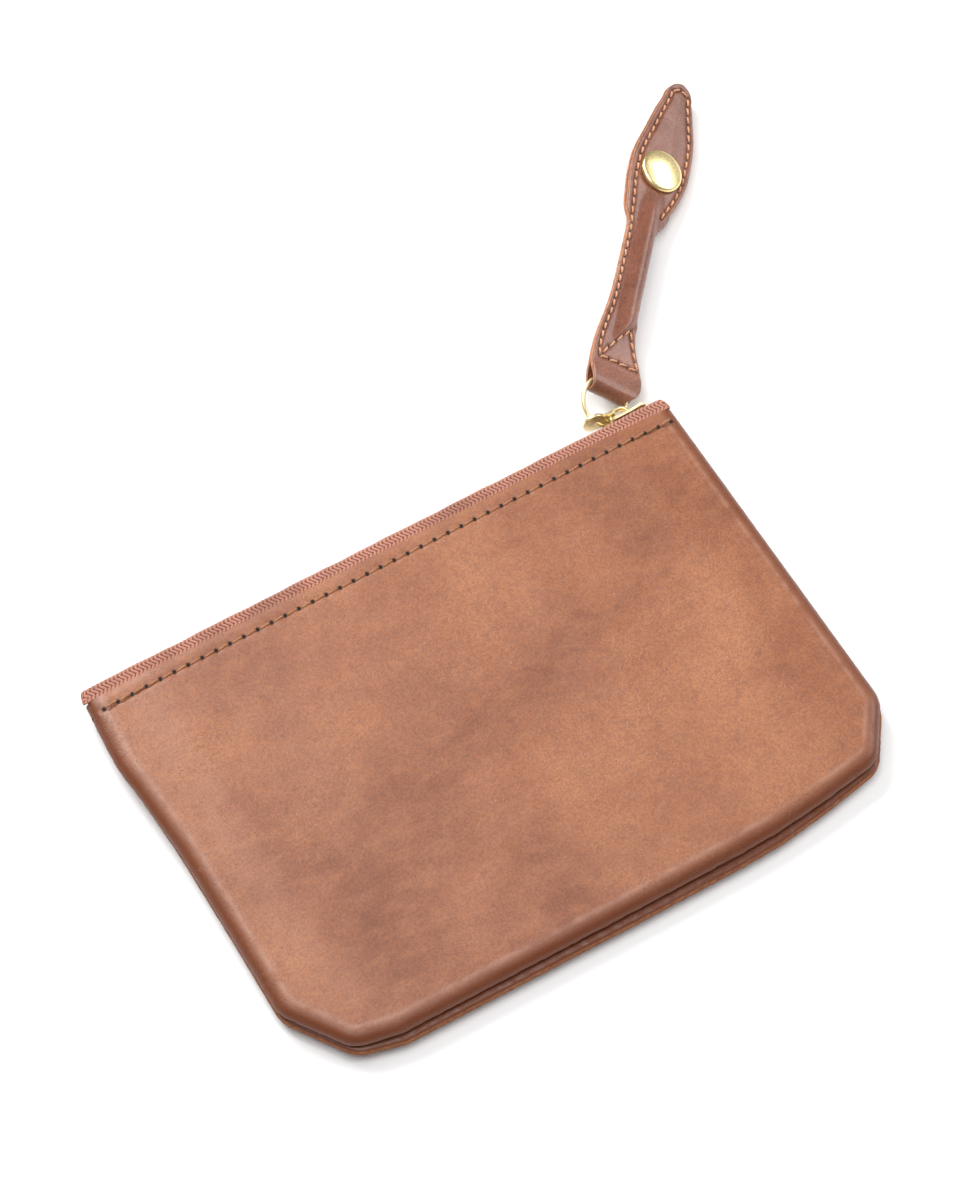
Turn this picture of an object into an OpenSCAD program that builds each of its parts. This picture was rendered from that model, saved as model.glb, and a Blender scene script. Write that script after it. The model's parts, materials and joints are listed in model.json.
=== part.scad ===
// Flat leather pouch, closed along its top by a brass zip. The zip's pull tab carries a wire ring,
// and the ring carries a leather strap that ends in a leaf with a snap fastener.
// Frame: origin at the centre of the flat back, X along the zip, Y from the bottom seam to the
// zip, Z up out of the front panel.

/* [Pouch] */
// Width of the pouch, along the zip
body_w = 140; // [130:1:160]
// Distance from the origin to the leather edge at the zip
mouth_y = 47; // [45:1:55]
// Distance from the origin to the lowest point of the back panel
bottom_y = 50.8; // [45:0.1:55]
// How far the bottom edge of the back panel bows down between its corners
bow = 4.1; // [3:0.1:5]
// Thickness of the closed pouch
body_t = 8.4; // [8.2:0.1:8.8]
// Thickness of the panel leather
leather_t = 1.1; // [1:0.1:1.2]
// Width of the cut at the bottom left corner
cut_x = 9.2; // [8:0.2:12]
// Height of the cut at the bottom left corner
cut_y = 13.6; // [12:0.2:16]
// Width of the cut at the bottom right corner
right_cut_x = 8.4; // [8:0.2:12]
// Height of the cut at the bottom right corner
right_cut_y = 11.6; // [11:0.2:16]
// Corner radius at both ends of a cut
corner_r = 7; // [6.8:0.1:8]
// How far the front panel stops short of the back panel at the lowest point
front_step = 1.9; // [1:0.1:2]
// How far the front panel stops short of the back panel at the corners
corner_step = 1; // [0.5:0.1:1.2]
// Distance from the edge over which a panel rolls to the seam
roll_w = 4.6; // [4.2:0.1:5]
// Width of the turned seam allowance inside
allowance = 6; // [5.6:0.1:6.4]
// Gap between the rims of the two panels
rim_gap = 0.4; // [0.36:0.02:0.5]
// Thickness of the lining
lining_t = 0.3; // [0.2:0.05:0.4]

/* [Stitching] */
// Pitch of the stitches beside the zip
stitch_pitch = 3.25; // [3:0.05:3.6]
// Distance from the leather edge to the zip stitches
stitch_inset = 3.2; // [2.8:0.1:3.6]
// Diameter of the sewing thread
thread_d = 0.4; // [0.3:0.05:0.5]

/* [Zip] */
// Thickness of the zip tape
tape_t = 0.6; // [0.5:0.05:0.6]
// Y of the chain's middle plane
chain_y = 49.6; // [49.5:0.1:49.7]
// Pitch of the teeth on one tape
tooth_pitch = 2.4; // [2.2:0.1:2.8]
// Length of a tooth along the zip
tooth_w = 1.05; // [0.9:0.05:1.1]
// Thickness of a tooth across the chain
tooth_t = 1.8; // [1.6:0.1:1.8]
// Gap between the two rows of teeth
chain_gap = 0.6; // [0.6:0.05:0.8]
// X of the slider's middle with the zip closed
slider_x = 62; // [61:0.5:62]
// Length of the slider
slider_l = 9; // [8.5:0.1:9]
// Half length of the front tape that lifts with the front panel
lift_x = 55; // [50:1:56]

/* [Pull and ring] */
// Swing of the pull tab away from the pouch
pull_angle = 7; // [6:1:8]
// Distance from the pull tab's pivot to the middle of its ring hole
pull_l = 4.4; // [4.3:0.1:4.6]
// Diameter of the ring's wire
wire_d = 1; // [0.9:0.05:1]

/* [Strap] */
// Direction of the strap, from the X axis towards Y
strap_angle = 48.3; // [46:0.1:52]
// Fall of the strap towards its tip
strap_fall = 0.3; // [0:0.1:0.3]
// Roll of the strap about its own length
strap_roll = 30; // [26:1:32]
// Thickness of one layer of strap leather
ply_t = 1.2; // [1.1:0.05:1.25]
// Distance along the strap from the fold to the start of the neck
tab_l = 20; // [19:0.5:20]
// Distance along the strap from the fold to the start of the leaf
neck_end = 46; // [45:0.5:47]
// Diameter of the rolled neck
neck_d = 5; // [4.8:0.1:5.2]
// Diameter of the snap cap
cap_d = 10; // [9:0.5:11]
// Distance along the strap from the fold to the middle of the snap
snap_s = 60.6; // [60:0.1:62]

/* [Hidden] */
$fn = 48;
eps = 0.01;
slice_t = 0.04;

half_w = body_w / 2;
mid_z = body_t / 2;
half_gap = rim_gap / 2;

// Roll of a panel's edge, as [inset from the edge, height above the seam plane]
outer_roll = [
    [1.0, half_gap], [0.25, 0.8], [0, 1.6], [0.4, 2.6], [1.3, 3.4], [2.7, 3.95],
    [roll_w, mid_z - slice_t]
];
inner_roll = [
    [leather_t, half_gap + leather_t], [1.5, 2.1], [2.5, 2.75],
    [roll_w, mid_z - leather_t - slice_t]
];

stitch_y = mouth_y - stitch_inset;
stitch_count = floor((body_w - 4) / stitch_pitch) + 1;

// The tape leaves the leather flat and turns down to the teeth on this arc
tape_z = mid_z - leather_t - 0.05 - tape_t / 2;
tape_arc_y = chain_y - 0.6;
tape_arc_r = 1.2;
tape_start_y = mouth_y - 11;
tooth_h = 1.4;
teeth_end_x = 65.5;
stop_w = 1.5;
stop_x = half_w - 3.2;

slider_half = slider_l / 2;
plate_t = 0.8;
plate_y = chain_y + tooth_t / 2 + 0.3;
crown_w = 1.4;
crown_h = 2.6;
pivot = [slider_x - 2.7, plate_y + 0.8 + 1.4, mid_z];
pull_t = 0.7;
pull_r = 2.8;
hole_r = 1.95;
pivot_r = 0.42;

// Two places that the ring's wire passes: the pull tab's hole and the gap under the crown.
// The third is the left end of the strap's fold.
hole_pt = pivot + [-pull_l * cos(pull_angle), pull_l * sin(pull_angle), -0.2];
under_pt = [slider_x - 3, plate_y + plate_t + 0.65, mid_z - 2.3];
fold_pt = [58.4, 60.9, 8.0];

// Lowest point and bow of the rims of the two panels
back_rim = [bottom_y, bow];
front_rim = [bottom_y - front_step, bow + corner_step - front_step];
// Points of the bowed bottom edge: x, and the share of the bow by which it rises
bow_shape = [[-51, 0.34], [0, 0.07], [26, 0], [36, 0.07], [47, 0.39]];

function unit(v) = v / norm(v);
// Middle of the circle through three points
function circle_middle(a, b, c) =
    let(u = b - a, v = c - a, n = cross(u, v))
    a + (cross(n, u) * (v * v) + cross(v, n) * (u * u)) / (2 * (n * n));

ring_mid = circle_middle(hole_pt, under_pt, fold_pt);
ring_r = norm(hole_pt - ring_mid);
ring_axis = unit(cross(under_pt - hole_pt, fold_pt - hole_pt));

strap_at = [60.1, 56.3, 5.4];
fold_left = 5.0;
fold_right = 2.6;
fold_r = 2.2;
loop_half = 1.2;
stud_s = 12;
stud_left = 0.6;
leaf_half = 7.3;
leaf_end = 86;
thread_r = thread_d / 2;

leather_tan = [0.66, 0.42, 0.31];
leather_dark = [0.45, 0.24, 0.17];
tape_brown = [0.70, 0.45, 0.36];
lining_brown = [0.42, 0.30, 0.22];
thread_brown = [0.72, 0.40, 0.22];
brass = [0.85, 0.70, 0.38];

// ---------------------------------------------------------------- panels

// Panel outline, moved in by inset everywhere except at the mouth. rim is [lowest, bow].
module outline(inset, rim, top) {
    round_r = max(corner_r - inset, 0.6);
    corner = rim[1] - rim[0];
    intersection() {
        offset(r = round_r)
            offset(delta = -(inset + round_r))
                polygon(concat(
                    [[-half_w, top + 20], [-half_w, corner + cut_y], [cut_x - half_w, corner]],
                    [for (p = bow_shape) [p[0], p[1] * rim[1] - rim[0]]],
                    [[half_w - right_cut_x, corner], [half_w, corner + right_cut_y],
                        [half_w, top + 20]]
                ));
        translate([-body_w, -body_w]) square([2 * body_w, body_w + top]);
    }
}

// Solid whose edge follows a list of [inset, height] steps, above the seam plane
module pillow(roll, rim, top) {
    hull()
        for (step = roll)
            translate([0, 0, step[1]]) linear_extrude(slice_t) outline(step[0], rim, top);
}

// One leather panel with rolled edges and its seam allowance, seam plane at Z = 0
module panel(rim) {
    difference() {
        pillow(outer_roll, rim, mouth_y);
        pillow(inner_roll, rim, mouth_y + 1);
        translate([0, 0, -1])
            linear_extrude(half_gap + leather_t + 1.1) outline(allowance, rim, mouth_y + 1);
        translate([-body_w, stitch_y - 0.5, mid_z - thread_d])
            cube([2 * body_w, 1, 2 * thread_d]);
    }
}

// One half of the lining bag, seam plane at Z = 0
module lining(rim) {
    depth = tape_z - tape_t / 2 - 0.05;
    inset = allowance + 0.4;
    difference() {
        translate([0, 0, 0.15]) linear_extrude(depth - 0.15) outline(inset, rim, stitch_y);
        translate([0, 0, -1])
            linear_extrude(depth + 1 - lining_t)
                outline(inset + lining_t, rim, stitch_y + 1);
    }
}

module at_front() { translate([0, 0, mid_z]) children(); }
module at_back() { translate([0, 0, mid_z]) mirror([0, 0, 1]) children(); }

// Row of stitches beside the zip, lying in the panel's stitch groove
module zip_stitches() {
    first = -(stitch_count - 1) * stitch_pitch / 2;
    for (i = [0 : stitch_count - 1])
        translate([first + i * stitch_pitch - 0.35 * stitch_pitch, stitch_y, mid_z - thread_r])
            rotate([0, 90, 0]) cylinder(h = 0.7 * stitch_pitch, r = thread_r - eps, $fn = 16);
}

module back_panel() { color(leather_tan) at_back() panel(back_rim); }
module front_panel() { color(leather_tan) at_front() panel(front_rim); }
module back_lining() { color(lining_brown) at_back() lining(back_rim); }
module front_lining() { color(lining_brown) at_front() lining(front_rim); }
module back_zip_thread() { color(thread_brown) at_back() zip_stitches(); }
module front_zip_thread() { color(thread_brown) at_front() zip_stitches(); }

// Stitches of the bottom and side seam that show between the two rims
module seam_thread() {
    run = half_w - cut_x - 12;
    side = mouth_y - 8;
    bar = [2.2, thread_d, rim_gap - 0.12];
    z = mid_z - bar[2] / 2;
    color(thread_brown) {
        for (x = [-run : stitch_pitch : run])
            translate([x - bar[0] / 2, front_rim[1] / 2 - front_rim[0], z]) cube(bar);
        for (side_x = [-1, 1])
            for (y = [cut_y + bow + 6 - bottom_y : stitch_pitch : side])
                translate([side_x * (half_w - 1.5) - bar[1] / 2, y, z])
                    cube([bar[1], bar[0], bar[2]]);
    }
}

// ---------------------------------------------------------------- zip

// Section of a tape in the YZ plane, above the seam plane
module tape_section(start_y) {
    turn = [for (a = [90 : -16 : 10]) [cos(a), sin(a)]];
    rise = tape_z - tape_arc_r;
    outer = [for (p = turn) [tape_arc_y, rise] + (tape_arc_r + tape_t / 2) * p];
    inner = [for (p = turn) [tape_arc_y, rise] + (tape_arc_r - tape_t / 2) * p];
    back = [for (i = [len(inner) - 1 : -1 : 0]) inner[i]];
    polygon(concat(
        [[start_y, tape_z - tape_t / 2], [start_y, tape_z + tape_t / 2]],
        outer, back
    ));
}

// Tape from x0 to x1, above the seam plane
module tape(x0, x1, start_y) {
    translate([x0, 0, 0])
        rotate([90, 0, 90]) linear_extrude(x1 - x0) tape_section(start_y);
}

// Row of teeth between x0 and x1, above the seam plane
module teeth(x0, x1, shift) {
    for (x = [x0 + shift : tooth_pitch : x1 - tooth_w])
        translate([x, chain_y - tooth_t / 2, chain_gap / 2]) cube([tooth_w, tooth_t, tooth_h]);
}

module back_tape() {
    color(tape_brown) at_back() {
        tape(roll_w - half_w, half_w - roll_w, tape_start_y);
        tape(-half_w - 0.8, half_w + 0.5, mouth_y + 0.15);
    }
}

module front_tape() { color(tape_brown) at_front() tape(-lift_x, lift_x, tape_start_y); }

// Tape ends of the front half, which stay sewn into the side seams
module side_tapes() {
    color(tape_brown) at_front() {
        tape(-half_w - 0.8, -lift_x - 0.3, mouth_y + 0.15);
        tape(lift_x + 0.3, half_w + 0.5, mouth_y + 0.15);
    }
}

module back_teeth() { color(brass) at_back() teeth(-teeth_end_x, teeth_end_x, tooth_pitch / 2); }
module front_teeth() { color(brass) at_front() teeth(-lift_x + 0.3, lift_x - 0.3, 0); }
module side_teeth() {
    color(brass) at_front() {
        teeth(-teeth_end_x, -lift_x, 0);
        teeth(lift_x + 0.3, teeth_end_x, 0);
    }
}

// One stop on each tape, past the closed slider
module top_stops() {
    color(brass)
        for (side = [0, 1])
            translate([0, 0, mid_z]) mirror([0, 0, side])
                translate([stop_x, chain_y - tooth_t / 2, 0.6]) cube([stop_w, tooth_t, 1.1]);
}

// Bar that joins both tapes at the open end
module bottom_stop() {
    color(brass)
        translate([-stop_x - stop_w, chain_y - tooth_t / 2, mid_z - 1.7])
            cube([stop_w, tooth_t, 3.4]);
}

// Shield-shaped slider plate, in the XZ plane, wide where the rows part
module slider_plate(tail, head) {
    rotate([90, 0, 0])
        linear_extrude(plate_t, center = true)
            polygon([
                [-slider_half, -tail + 0.6], [-slider_half + 0.6, -tail], [0.5, -tail],
                [slider_half - 1.4, -head], [slider_half - 0.3, -head + 0.8],
                [slider_half, 0],
                [slider_half - 0.3, head - 0.8], [slider_half - 1.4, head],
                [0.5, tail], [-slider_half + 0.6, tail], [-slider_half, tail - 0.6]
            ]);
}

// Two plates round the chain, held together by the divider that parts the rows
module slider_body() {
    inner_y = chain_y - tooth_t / 2 - 0.3 - plate_t / 2;
    color(brass) {
        translate([slider_x, plate_y + plate_t / 2, mid_z]) slider_plate(2.2, 2.6);
        translate([slider_x, inner_y, mid_z]) slider_plate(1.9, 2.2);
        translate([slider_x + 2.4, inner_y, mid_z - 0.25])
            cube([1.6, plate_y + plate_t / 2 - inner_y, 0.5]);
    }
}

// Bridge on the slider that holds the pull tab's pivot bar
module slider_crown() {
    foot = plate_y + plate_t;
    color(brass)
        translate([slider_x, foot, mid_z - crown_w / 2])
            linear_extrude(crown_w)
                difference() {
                    polygon([
                        [-4.2, 0], [-4.1, crown_h - 0.7], [-3.5, crown_h],
                        [0.4, crown_h], [1.2, crown_h - 0.5], [1.6, 0]
                    ]);
                    translate([-3.3, -1]) square([3.7, 1 + crown_h - 0.7]);
                }
}

// ---------------------------------------------------------------- pull tab and ring

// Pull tab: pivot bar, two arms and a round end with the ring's hole
module pull_tab() {
    arm_in = crown_w / 2 + 0.15;
    arm_out = arm_in + 0.55;
    neck_x = 1.9;
    color(brass)
        translate(pivot) rotate([0, 0, -pull_angle]) {
            translate([0, 0, -arm_out]) cylinder(h = 2 * arm_out, r = pivot_r);
            for (side = [0, 1])
                mirror([0, 0, side])
                    translate([-neck_x - 0.2, -pull_t / 2, arm_in])
                        cube([neck_x + 0.2, pull_t, arm_out - arm_in]);
            difference() {
                union() {
                    translate([-pull_l - 0.2, pull_t / 2, 0])
                        rotate([90, 0, 0]) cylinder(h = pull_t, r = pull_r);
                    translate([-neck_x - 0.8, -pull_t / 2, -arm_out])
                        cube([0.8, pull_t, 2 * arm_out]);
                }
                translate([-pull_l + 0.2, 2, -0.2]) rotate([90, 0, 0]) cylinder(h = 4, r = hole_r);
                translate([-neck_x, -2, -arm_in]) cube([neck_x + 1, 4, 2 * arm_in]);
            }
        }
}

// Puts children's Z axis on the ring's axis, at the ring's middle
module at_ring() {
    translate(ring_mid)
        rotate([0, acos(ring_axis[2]), atan2(ring_axis[1], ring_axis[0])])
            children();
}

module ring_solid(section_d) {
    at_ring() rotate_extrude($fn = 96) translate([ring_r, 0]) circle(d = section_d, $fn = 24);
}

module wire_ring() { color(brass) ring_solid(wire_d); }

// ---------------------------------------------------------------- strap

// Strap frame: X along the strap from the fold, Y to its left edge, Z out of its face
module at_strap() {
    translate(strap_at) rotate([0, strap_fall, strap_angle]) rotate([strap_roll, 0, 0]) children();
}

// Tab: two plies with a rounded fold at the ring
module tab_outline() {
    polygon([
        [fold_r, -fold_right], [6, -6], [9, -5.2], [13, -3.4], [tab_l, -2.6],
        [tab_l, 5.6], [10, 6.2], [5, 6.2], [fold_r, fold_left]
    ]);
}

module strap_tab() {
    fold_w = fold_left + fold_right;
    color(leather_dark)
        at_strap()
            difference() {
                union() {
                    translate([0, 0, -ply_t - eps]) linear_extrude(2 * (ply_t + eps)) tab_outline();
                    translate([fold_r, fold_left, 0])
                        rotate([90, 0, 0]) cylinder(h = fold_w, r = fold_r);
                    translate([fold_r, -fold_right, -fold_r]) cube([4.2, fold_w, 2 * fold_r]);
                }
                translate([0.8, -10, -loop_half]) cube([5.2, 20, 2 * loop_half]);
                translate([stud_s, stud_left, -ply_t - 1]) cylinder(h = 2, r = 1.25);
            }
}

// Flat stitch lying on a strap face, from a to b
module stitch(a, b, z) {
    run = b - a;
    translate([a[0], a[1], z + thread_r])
        rotate([0, 0, atan2(run[1], run[0])])
            translate([0.1 * norm(run), 0, 0])
                rotate([0, 90, 0]) cylinder(h = 0.8 * norm(run), r = thread_r, $fn = 16);
}

// Stitches of about one pitch along each leg of an open route
module stitch_route(route, pitch, z) {
    for (i = [0 : len(route) - 2]) {
        a = route[i];
        b = route[i + 1];
        count = max(1, round(norm(b - a) / pitch));
        for (k = [0 : count - 1])
            stitch(a + (b - a) * k / count, a + (b - a) * (k + 1) / count, z);
    }
}

module tab_thread() {
    corner = [8.4, 4.9];
    apex = [tab_l - 2.5, -0.8];
    color(thread_brown) at_strap() {
        stitch_route([[tab_l - 0.6, 4.6], [14, 5.2], corner, [8.8, -4.6], apex], 2.4,
            ply_t + 2 * eps);
        stitch_route([corner + [1, -0.6], apex + [-1, 0.6]], 2.4, ply_t + 2 * eps);
    }
}

// Stud that the leaf's socket snaps on to, under the tab
module snap_stud() {
    color(brass)
        at_strap()
            translate([stud_s, stud_left, -ply_t - 2 * eps])
                rotate([180, 0, 0]) {
                    cylinder(h = 0.6, r = 3.4);
                    cylinder(h = 1.4, r = 1.5);
                    translate([0, 0, 1.4]) cylinder(h = 0.9, r = 1.9);
                }
}

// Post of the stud, riveted through the tab's back ply
module snap_post() {
    color(brass)
        at_strap() translate([stud_s, stud_left, -ply_t]) cylinder(h = 0.9, r = 1.2);
}

// Neck: leather rolled round a cord, with the stitched flange on its left
module strap_neck() {
    gap = 0.05;
    color(leather_dark)
        at_strap()
            difference() {
                union() {
                    translate([tab_l + gap, 0, 0]) rotate([0, 90, 0])
                        cylinder(h = neck_end - tab_l - 2 * gap, d = neck_d);
                    translate([tab_l + gap, 0, -ply_t])
                        cube([neck_end - tab_l - 2 * gap, 4.9, 2 * ply_t]);
                }
                translate([tab_l - 1, 0, 0]) rotate([0, 90, 0])
                    cylinder(h = neck_end - tab_l + 2, d = neck_d - 2 * ply_t);
            }
}

module neck_cord() {
    color("tan")
        at_strap() translate([tab_l + 0.3, 0, 0]) rotate([0, 90, 0])
            cylinder(h = neck_end - tab_l - 0.6, d = neck_d - 2 * ply_t - 0.1);
}

module neck_thread() {
    color(thread_brown) at_strap()
        stitch_route([[tab_l + 0.8, 3.9], [neck_end - 0.6, 3.9]], 2.4, ply_t + eps);
}

// Leaf: pointed oval that narrows into the neck
function leaf_edge(s, from) =
    let(t = (s - from) / (leaf_end - from))
    leaf_half * pow(sin(180 * pow(t, 0.72)), 0.55) * (1 - 0.12 * t);

// The leaf's middle line drifts slightly to the right towards its tip
function leaf_mid(s) = 0.5 - 0.08 * (s - 54);

module leaf_outline(from) {
    steps = 28;
    run = [for (i = [0 : steps]) from + (leaf_end - from) * i / steps];
    left = [for (s = run) [s, leaf_mid(s) + leaf_edge(s, from)]];
    right = [
        for (i = [steps - 1 : -1 : 1]) [run[i], leaf_mid(run[i]) - leaf_edge(run[i], from)]
    ];
    polygon(concat(left, right));
}

module strap_leaf() {
    color(leather_dark)
        at_strap()
            difference() {
                translate([0, 0, eps]) linear_extrude(ply_t) leaf_outline(neck_end + 0.4);
                translate([snap_s, leaf_mid(snap_s), -1]) cylinder(h = 4, r = 1.6);
            }
}

module leaf_backing() {
    color(leather_dark)
        at_strap()
            difference() {
                translate([0, 0, -ply_t - eps]) linear_extrude(ply_t) leaf_outline(neck_end + 0.4);
                translate([snap_s, leaf_mid(snap_s), -3]) cylinder(h = 4, r = 1.6);
            }
}

module leaf_thread() {
    inset = 0.82;
    from = neck_end + 0.4;
    run = [for (s = [from + 4 : 2.6 : leaf_end - 2.5]) s];
    left = [for (s = run) [s, leaf_mid(s) + inset * leaf_edge(s, from)]];
    right = [for (s = run) [s, leaf_mid(s) - inset * leaf_edge(s, from)]];
    color(thread_brown) at_strap() {
        stitch_route(left, 2.6, ply_t + 2 * eps);
        stitch_route(right, 2.6, ply_t + 2 * eps);
    }
}

// Domed cap of the snap, with the tube that rivets it through the leaf
module snap_cap() {
    face = ply_t + 2 * eps;
    dome_h = 0.7;
    dome_r = (cap_d * cap_d / 4 + dome_h * dome_h) / (2 * dome_h);
    color(brass)
        at_strap() translate([snap_s, leaf_mid(snap_s), face]) {
            cylinder(h = 1, d = cap_d);
            intersection() {
                translate([0, 0, 1 - eps]) cylinder(h = dome_h, d = cap_d);
                translate([0, 0, 1 + dome_h - dome_r]) sphere(r = dome_r, $fn = 96);
            }
            translate([0, 0, -2 * ply_t]) cylinder(h = 2 * ply_t + eps, r = 1.5);
        }
}

// Spring socket on the leaf's back
module snap_socket() {
    face = -ply_t - 2 * eps;
    color(brass)
        at_strap() translate([snap_s, leaf_mid(snap_s), face]) rotate([180, 0, 0])
            difference() {
                cylinder(h = 2.1, r = 4.3);
                translate([0, 0, 0.5]) cylinder(h = 3, r = 2.1);
                translate([0, 0, -1]) cylinder(h = 3, r = 1.6);
            }
}

back_panel();
back_lining();
back_tape();
back_teeth();
back_zip_thread();
seam_thread();
side_tapes();
side_teeth();
top_stops();
bottom_stop();
front_panel();
front_lining();
front_tape();
front_teeth();
front_zip_thread();
slider_body();
slider_crown();
pull_tab();
wire_ring();
strap_tab();
tab_thread();
snap_stud();
snap_post();
strap_neck();
neck_cord();
neck_thread();
strap_leaf();
leaf_backing();
leaf_thread();
snap_cap();
snap_socket();
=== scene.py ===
import json
import math

import bmesh
import bpy
import numpy as np
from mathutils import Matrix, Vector


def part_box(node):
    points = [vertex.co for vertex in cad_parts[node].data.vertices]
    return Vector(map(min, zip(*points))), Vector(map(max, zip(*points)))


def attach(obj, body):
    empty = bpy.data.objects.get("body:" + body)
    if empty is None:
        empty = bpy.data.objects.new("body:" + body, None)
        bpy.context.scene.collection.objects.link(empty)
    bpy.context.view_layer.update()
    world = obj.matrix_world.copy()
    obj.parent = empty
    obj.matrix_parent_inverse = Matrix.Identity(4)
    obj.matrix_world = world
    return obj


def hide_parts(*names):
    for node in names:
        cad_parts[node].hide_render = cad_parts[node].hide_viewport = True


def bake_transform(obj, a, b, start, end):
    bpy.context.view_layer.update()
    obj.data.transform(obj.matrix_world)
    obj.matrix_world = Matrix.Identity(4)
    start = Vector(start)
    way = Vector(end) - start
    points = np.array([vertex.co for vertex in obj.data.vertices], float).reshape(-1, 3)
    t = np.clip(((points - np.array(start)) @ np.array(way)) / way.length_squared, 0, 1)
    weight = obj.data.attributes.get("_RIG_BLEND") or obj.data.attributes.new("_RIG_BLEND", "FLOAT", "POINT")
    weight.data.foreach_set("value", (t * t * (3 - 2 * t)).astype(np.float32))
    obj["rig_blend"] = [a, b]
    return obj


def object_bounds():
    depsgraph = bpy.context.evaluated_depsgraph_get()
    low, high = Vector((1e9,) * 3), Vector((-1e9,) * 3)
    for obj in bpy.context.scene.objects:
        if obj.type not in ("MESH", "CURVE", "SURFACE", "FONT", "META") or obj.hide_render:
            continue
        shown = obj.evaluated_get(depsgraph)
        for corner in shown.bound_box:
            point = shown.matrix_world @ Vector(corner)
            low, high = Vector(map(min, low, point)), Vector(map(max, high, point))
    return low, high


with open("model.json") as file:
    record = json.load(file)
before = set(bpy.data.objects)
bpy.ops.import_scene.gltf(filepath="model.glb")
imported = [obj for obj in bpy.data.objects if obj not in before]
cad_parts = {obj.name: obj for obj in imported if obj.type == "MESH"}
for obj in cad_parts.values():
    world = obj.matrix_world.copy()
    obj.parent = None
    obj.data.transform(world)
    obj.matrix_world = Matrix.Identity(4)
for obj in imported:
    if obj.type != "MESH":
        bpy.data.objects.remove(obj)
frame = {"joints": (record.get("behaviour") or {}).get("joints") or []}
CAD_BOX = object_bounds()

# The object's shapes are in millimetres in the row frame, and piece() scales them to metres.
# The camera, the floor and the lights are in metres.
MM = 0.001
JOINTS = {j["name"]: j for j in frame["joints"]}


def node_box(name):
    return [np.array(corner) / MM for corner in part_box(name)]


def node_middle(name):
    low, high = node_box(name)
    return (low + high) / 2


def joint_pos(name):
    return np.array(JOINTS[name]["pos_m"]) / MM


PANEL_LOW, PANEL_HIGH = node_box("back_panel")
FRONT_LOW = node_box("front_panel")[0]
HALF_W = PANEL_HIGH[0]
MOUTH_Y = PANEL_HIGH[1]
MID_Z = joint_pos("mouth_open")[2]
# A rim is its lowest point and how far its bottom edge bows down between the corners.
BACK_RIM, FRONT_RIM = (-PANEL_LOW[1], 4.1), (-FRONT_LOW[1], 3.2)
# The bottom edge at each X: 0 is its lowest point, and 1 is level with the corners.
BOW_SHAPE = ((-51, 0.34), (0, 0.07), (26, 0.0), (36, 0.07), (47, 0.39))
CORNER_R, ARC_STEPS = 7.0, 9
# How far each cut corner reaches along the bottom and up the side.
LEFT_CUT, RIGHT_CUT = (9.2, 13.6), (8.4, 11.6)
LEATHER_T, PLY_T = 1.1, 1.2
STITCH_Y = node_middle("front_zip_thread")[1]
STITCH_PITCH = 3.25
STITCH_COUNT = 43
# The front lifts between these X when the mouth opens.
ARCH_HALF = 62.0

# --- camera, floor and lights

EYE = Vector((-0.16850, -0.27705, 0.64372))
AIM = Vector((0.0126, 0.0304, 0.0))
LENS = 105.06
# Name, place, aim, size in metres and watts of each light.
LIGHTS = (("key", (-0.20, 0.90, 0.90), (0, 0, 0), (0.6, 0.5), 14),
          ("side", (1.15, -0.12, 0.68), (0.05, 0.05, 0), (0.8, 0.5), 7),
          ("top", (-0.15, -0.1, 1.4), (0, 0, 0), (0.9, 0.9), 12))
WORLD_STRENGTH = 0.36
FLOOR_HALF, FLOOR_DROP, FLOOR_WHITE = 4.0, 0.00002, (0.86, 0.86, 0.86, 1)


def add_object(name, data):
    made = bpy.data.objects.new(name, data)
    bpy.context.scene.collection.objects.link(made)
    return made


def aim_at(obj, target):
    obj.rotation_euler = (target - obj.location).to_track_quat("-Z", "Y").to_euler()


def make_camera():
    data = bpy.data.cameras.new("camera")
    data.lens, data.sensor_width, data.clip_start = LENS, 36, 0.01
    cam = add_object("camera", data)
    cam.location = EYE
    aim_at(cam, AIM)
    bpy.context.scene.camera = cam


def area_light(name, place, aim, size, power):
    data = bpy.data.lights.new(name, "AREA")
    data.shape = "RECTANGLE"
    data.size, data.size_y = size
    data.energy = power
    lamp = add_object(name, data)
    lamp.location = place
    aim_at(lamp, Vector(aim))


def make_stage():
    mesh = bpy.data.meshes.new("floor")
    h = FLOOR_HALF
    mesh.from_pydata([(-h, -h, 0), (h, -h, 0), (h, h, 0), (-h, h, 0)], [], [(0, 1, 2, 3)])
    floor = add_object("floor", mesh)
    floor.location.z = CAD_BOX[0][2] - FLOOR_DROP
    paint = bpy.data.materials.new("floor_white")
    paint.use_nodes = True
    inputs = paint.node_tree.nodes["Principled BSDF"].inputs
    inputs["Base Color"].default_value = FLOOR_WHITE
    inputs["Roughness"].default_value = 0.9
    inputs["Specular IOR Level"].default_value = 0.1
    mesh.materials.append(paint)
    for light in LIGHTS:
        area_light(*light)
    world = bpy.data.worlds.new("world")
    bpy.context.scene.world = world
    world.use_nodes = True
    sky = world.node_tree.nodes["Background"].inputs
    sky["Color"].default_value = (1, 1, 1, 1)
    sky["Strength"].default_value = WORLD_STRENGTH
    bpy.context.scene.view_settings.view_transform = "Standard"


# --- materials


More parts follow.
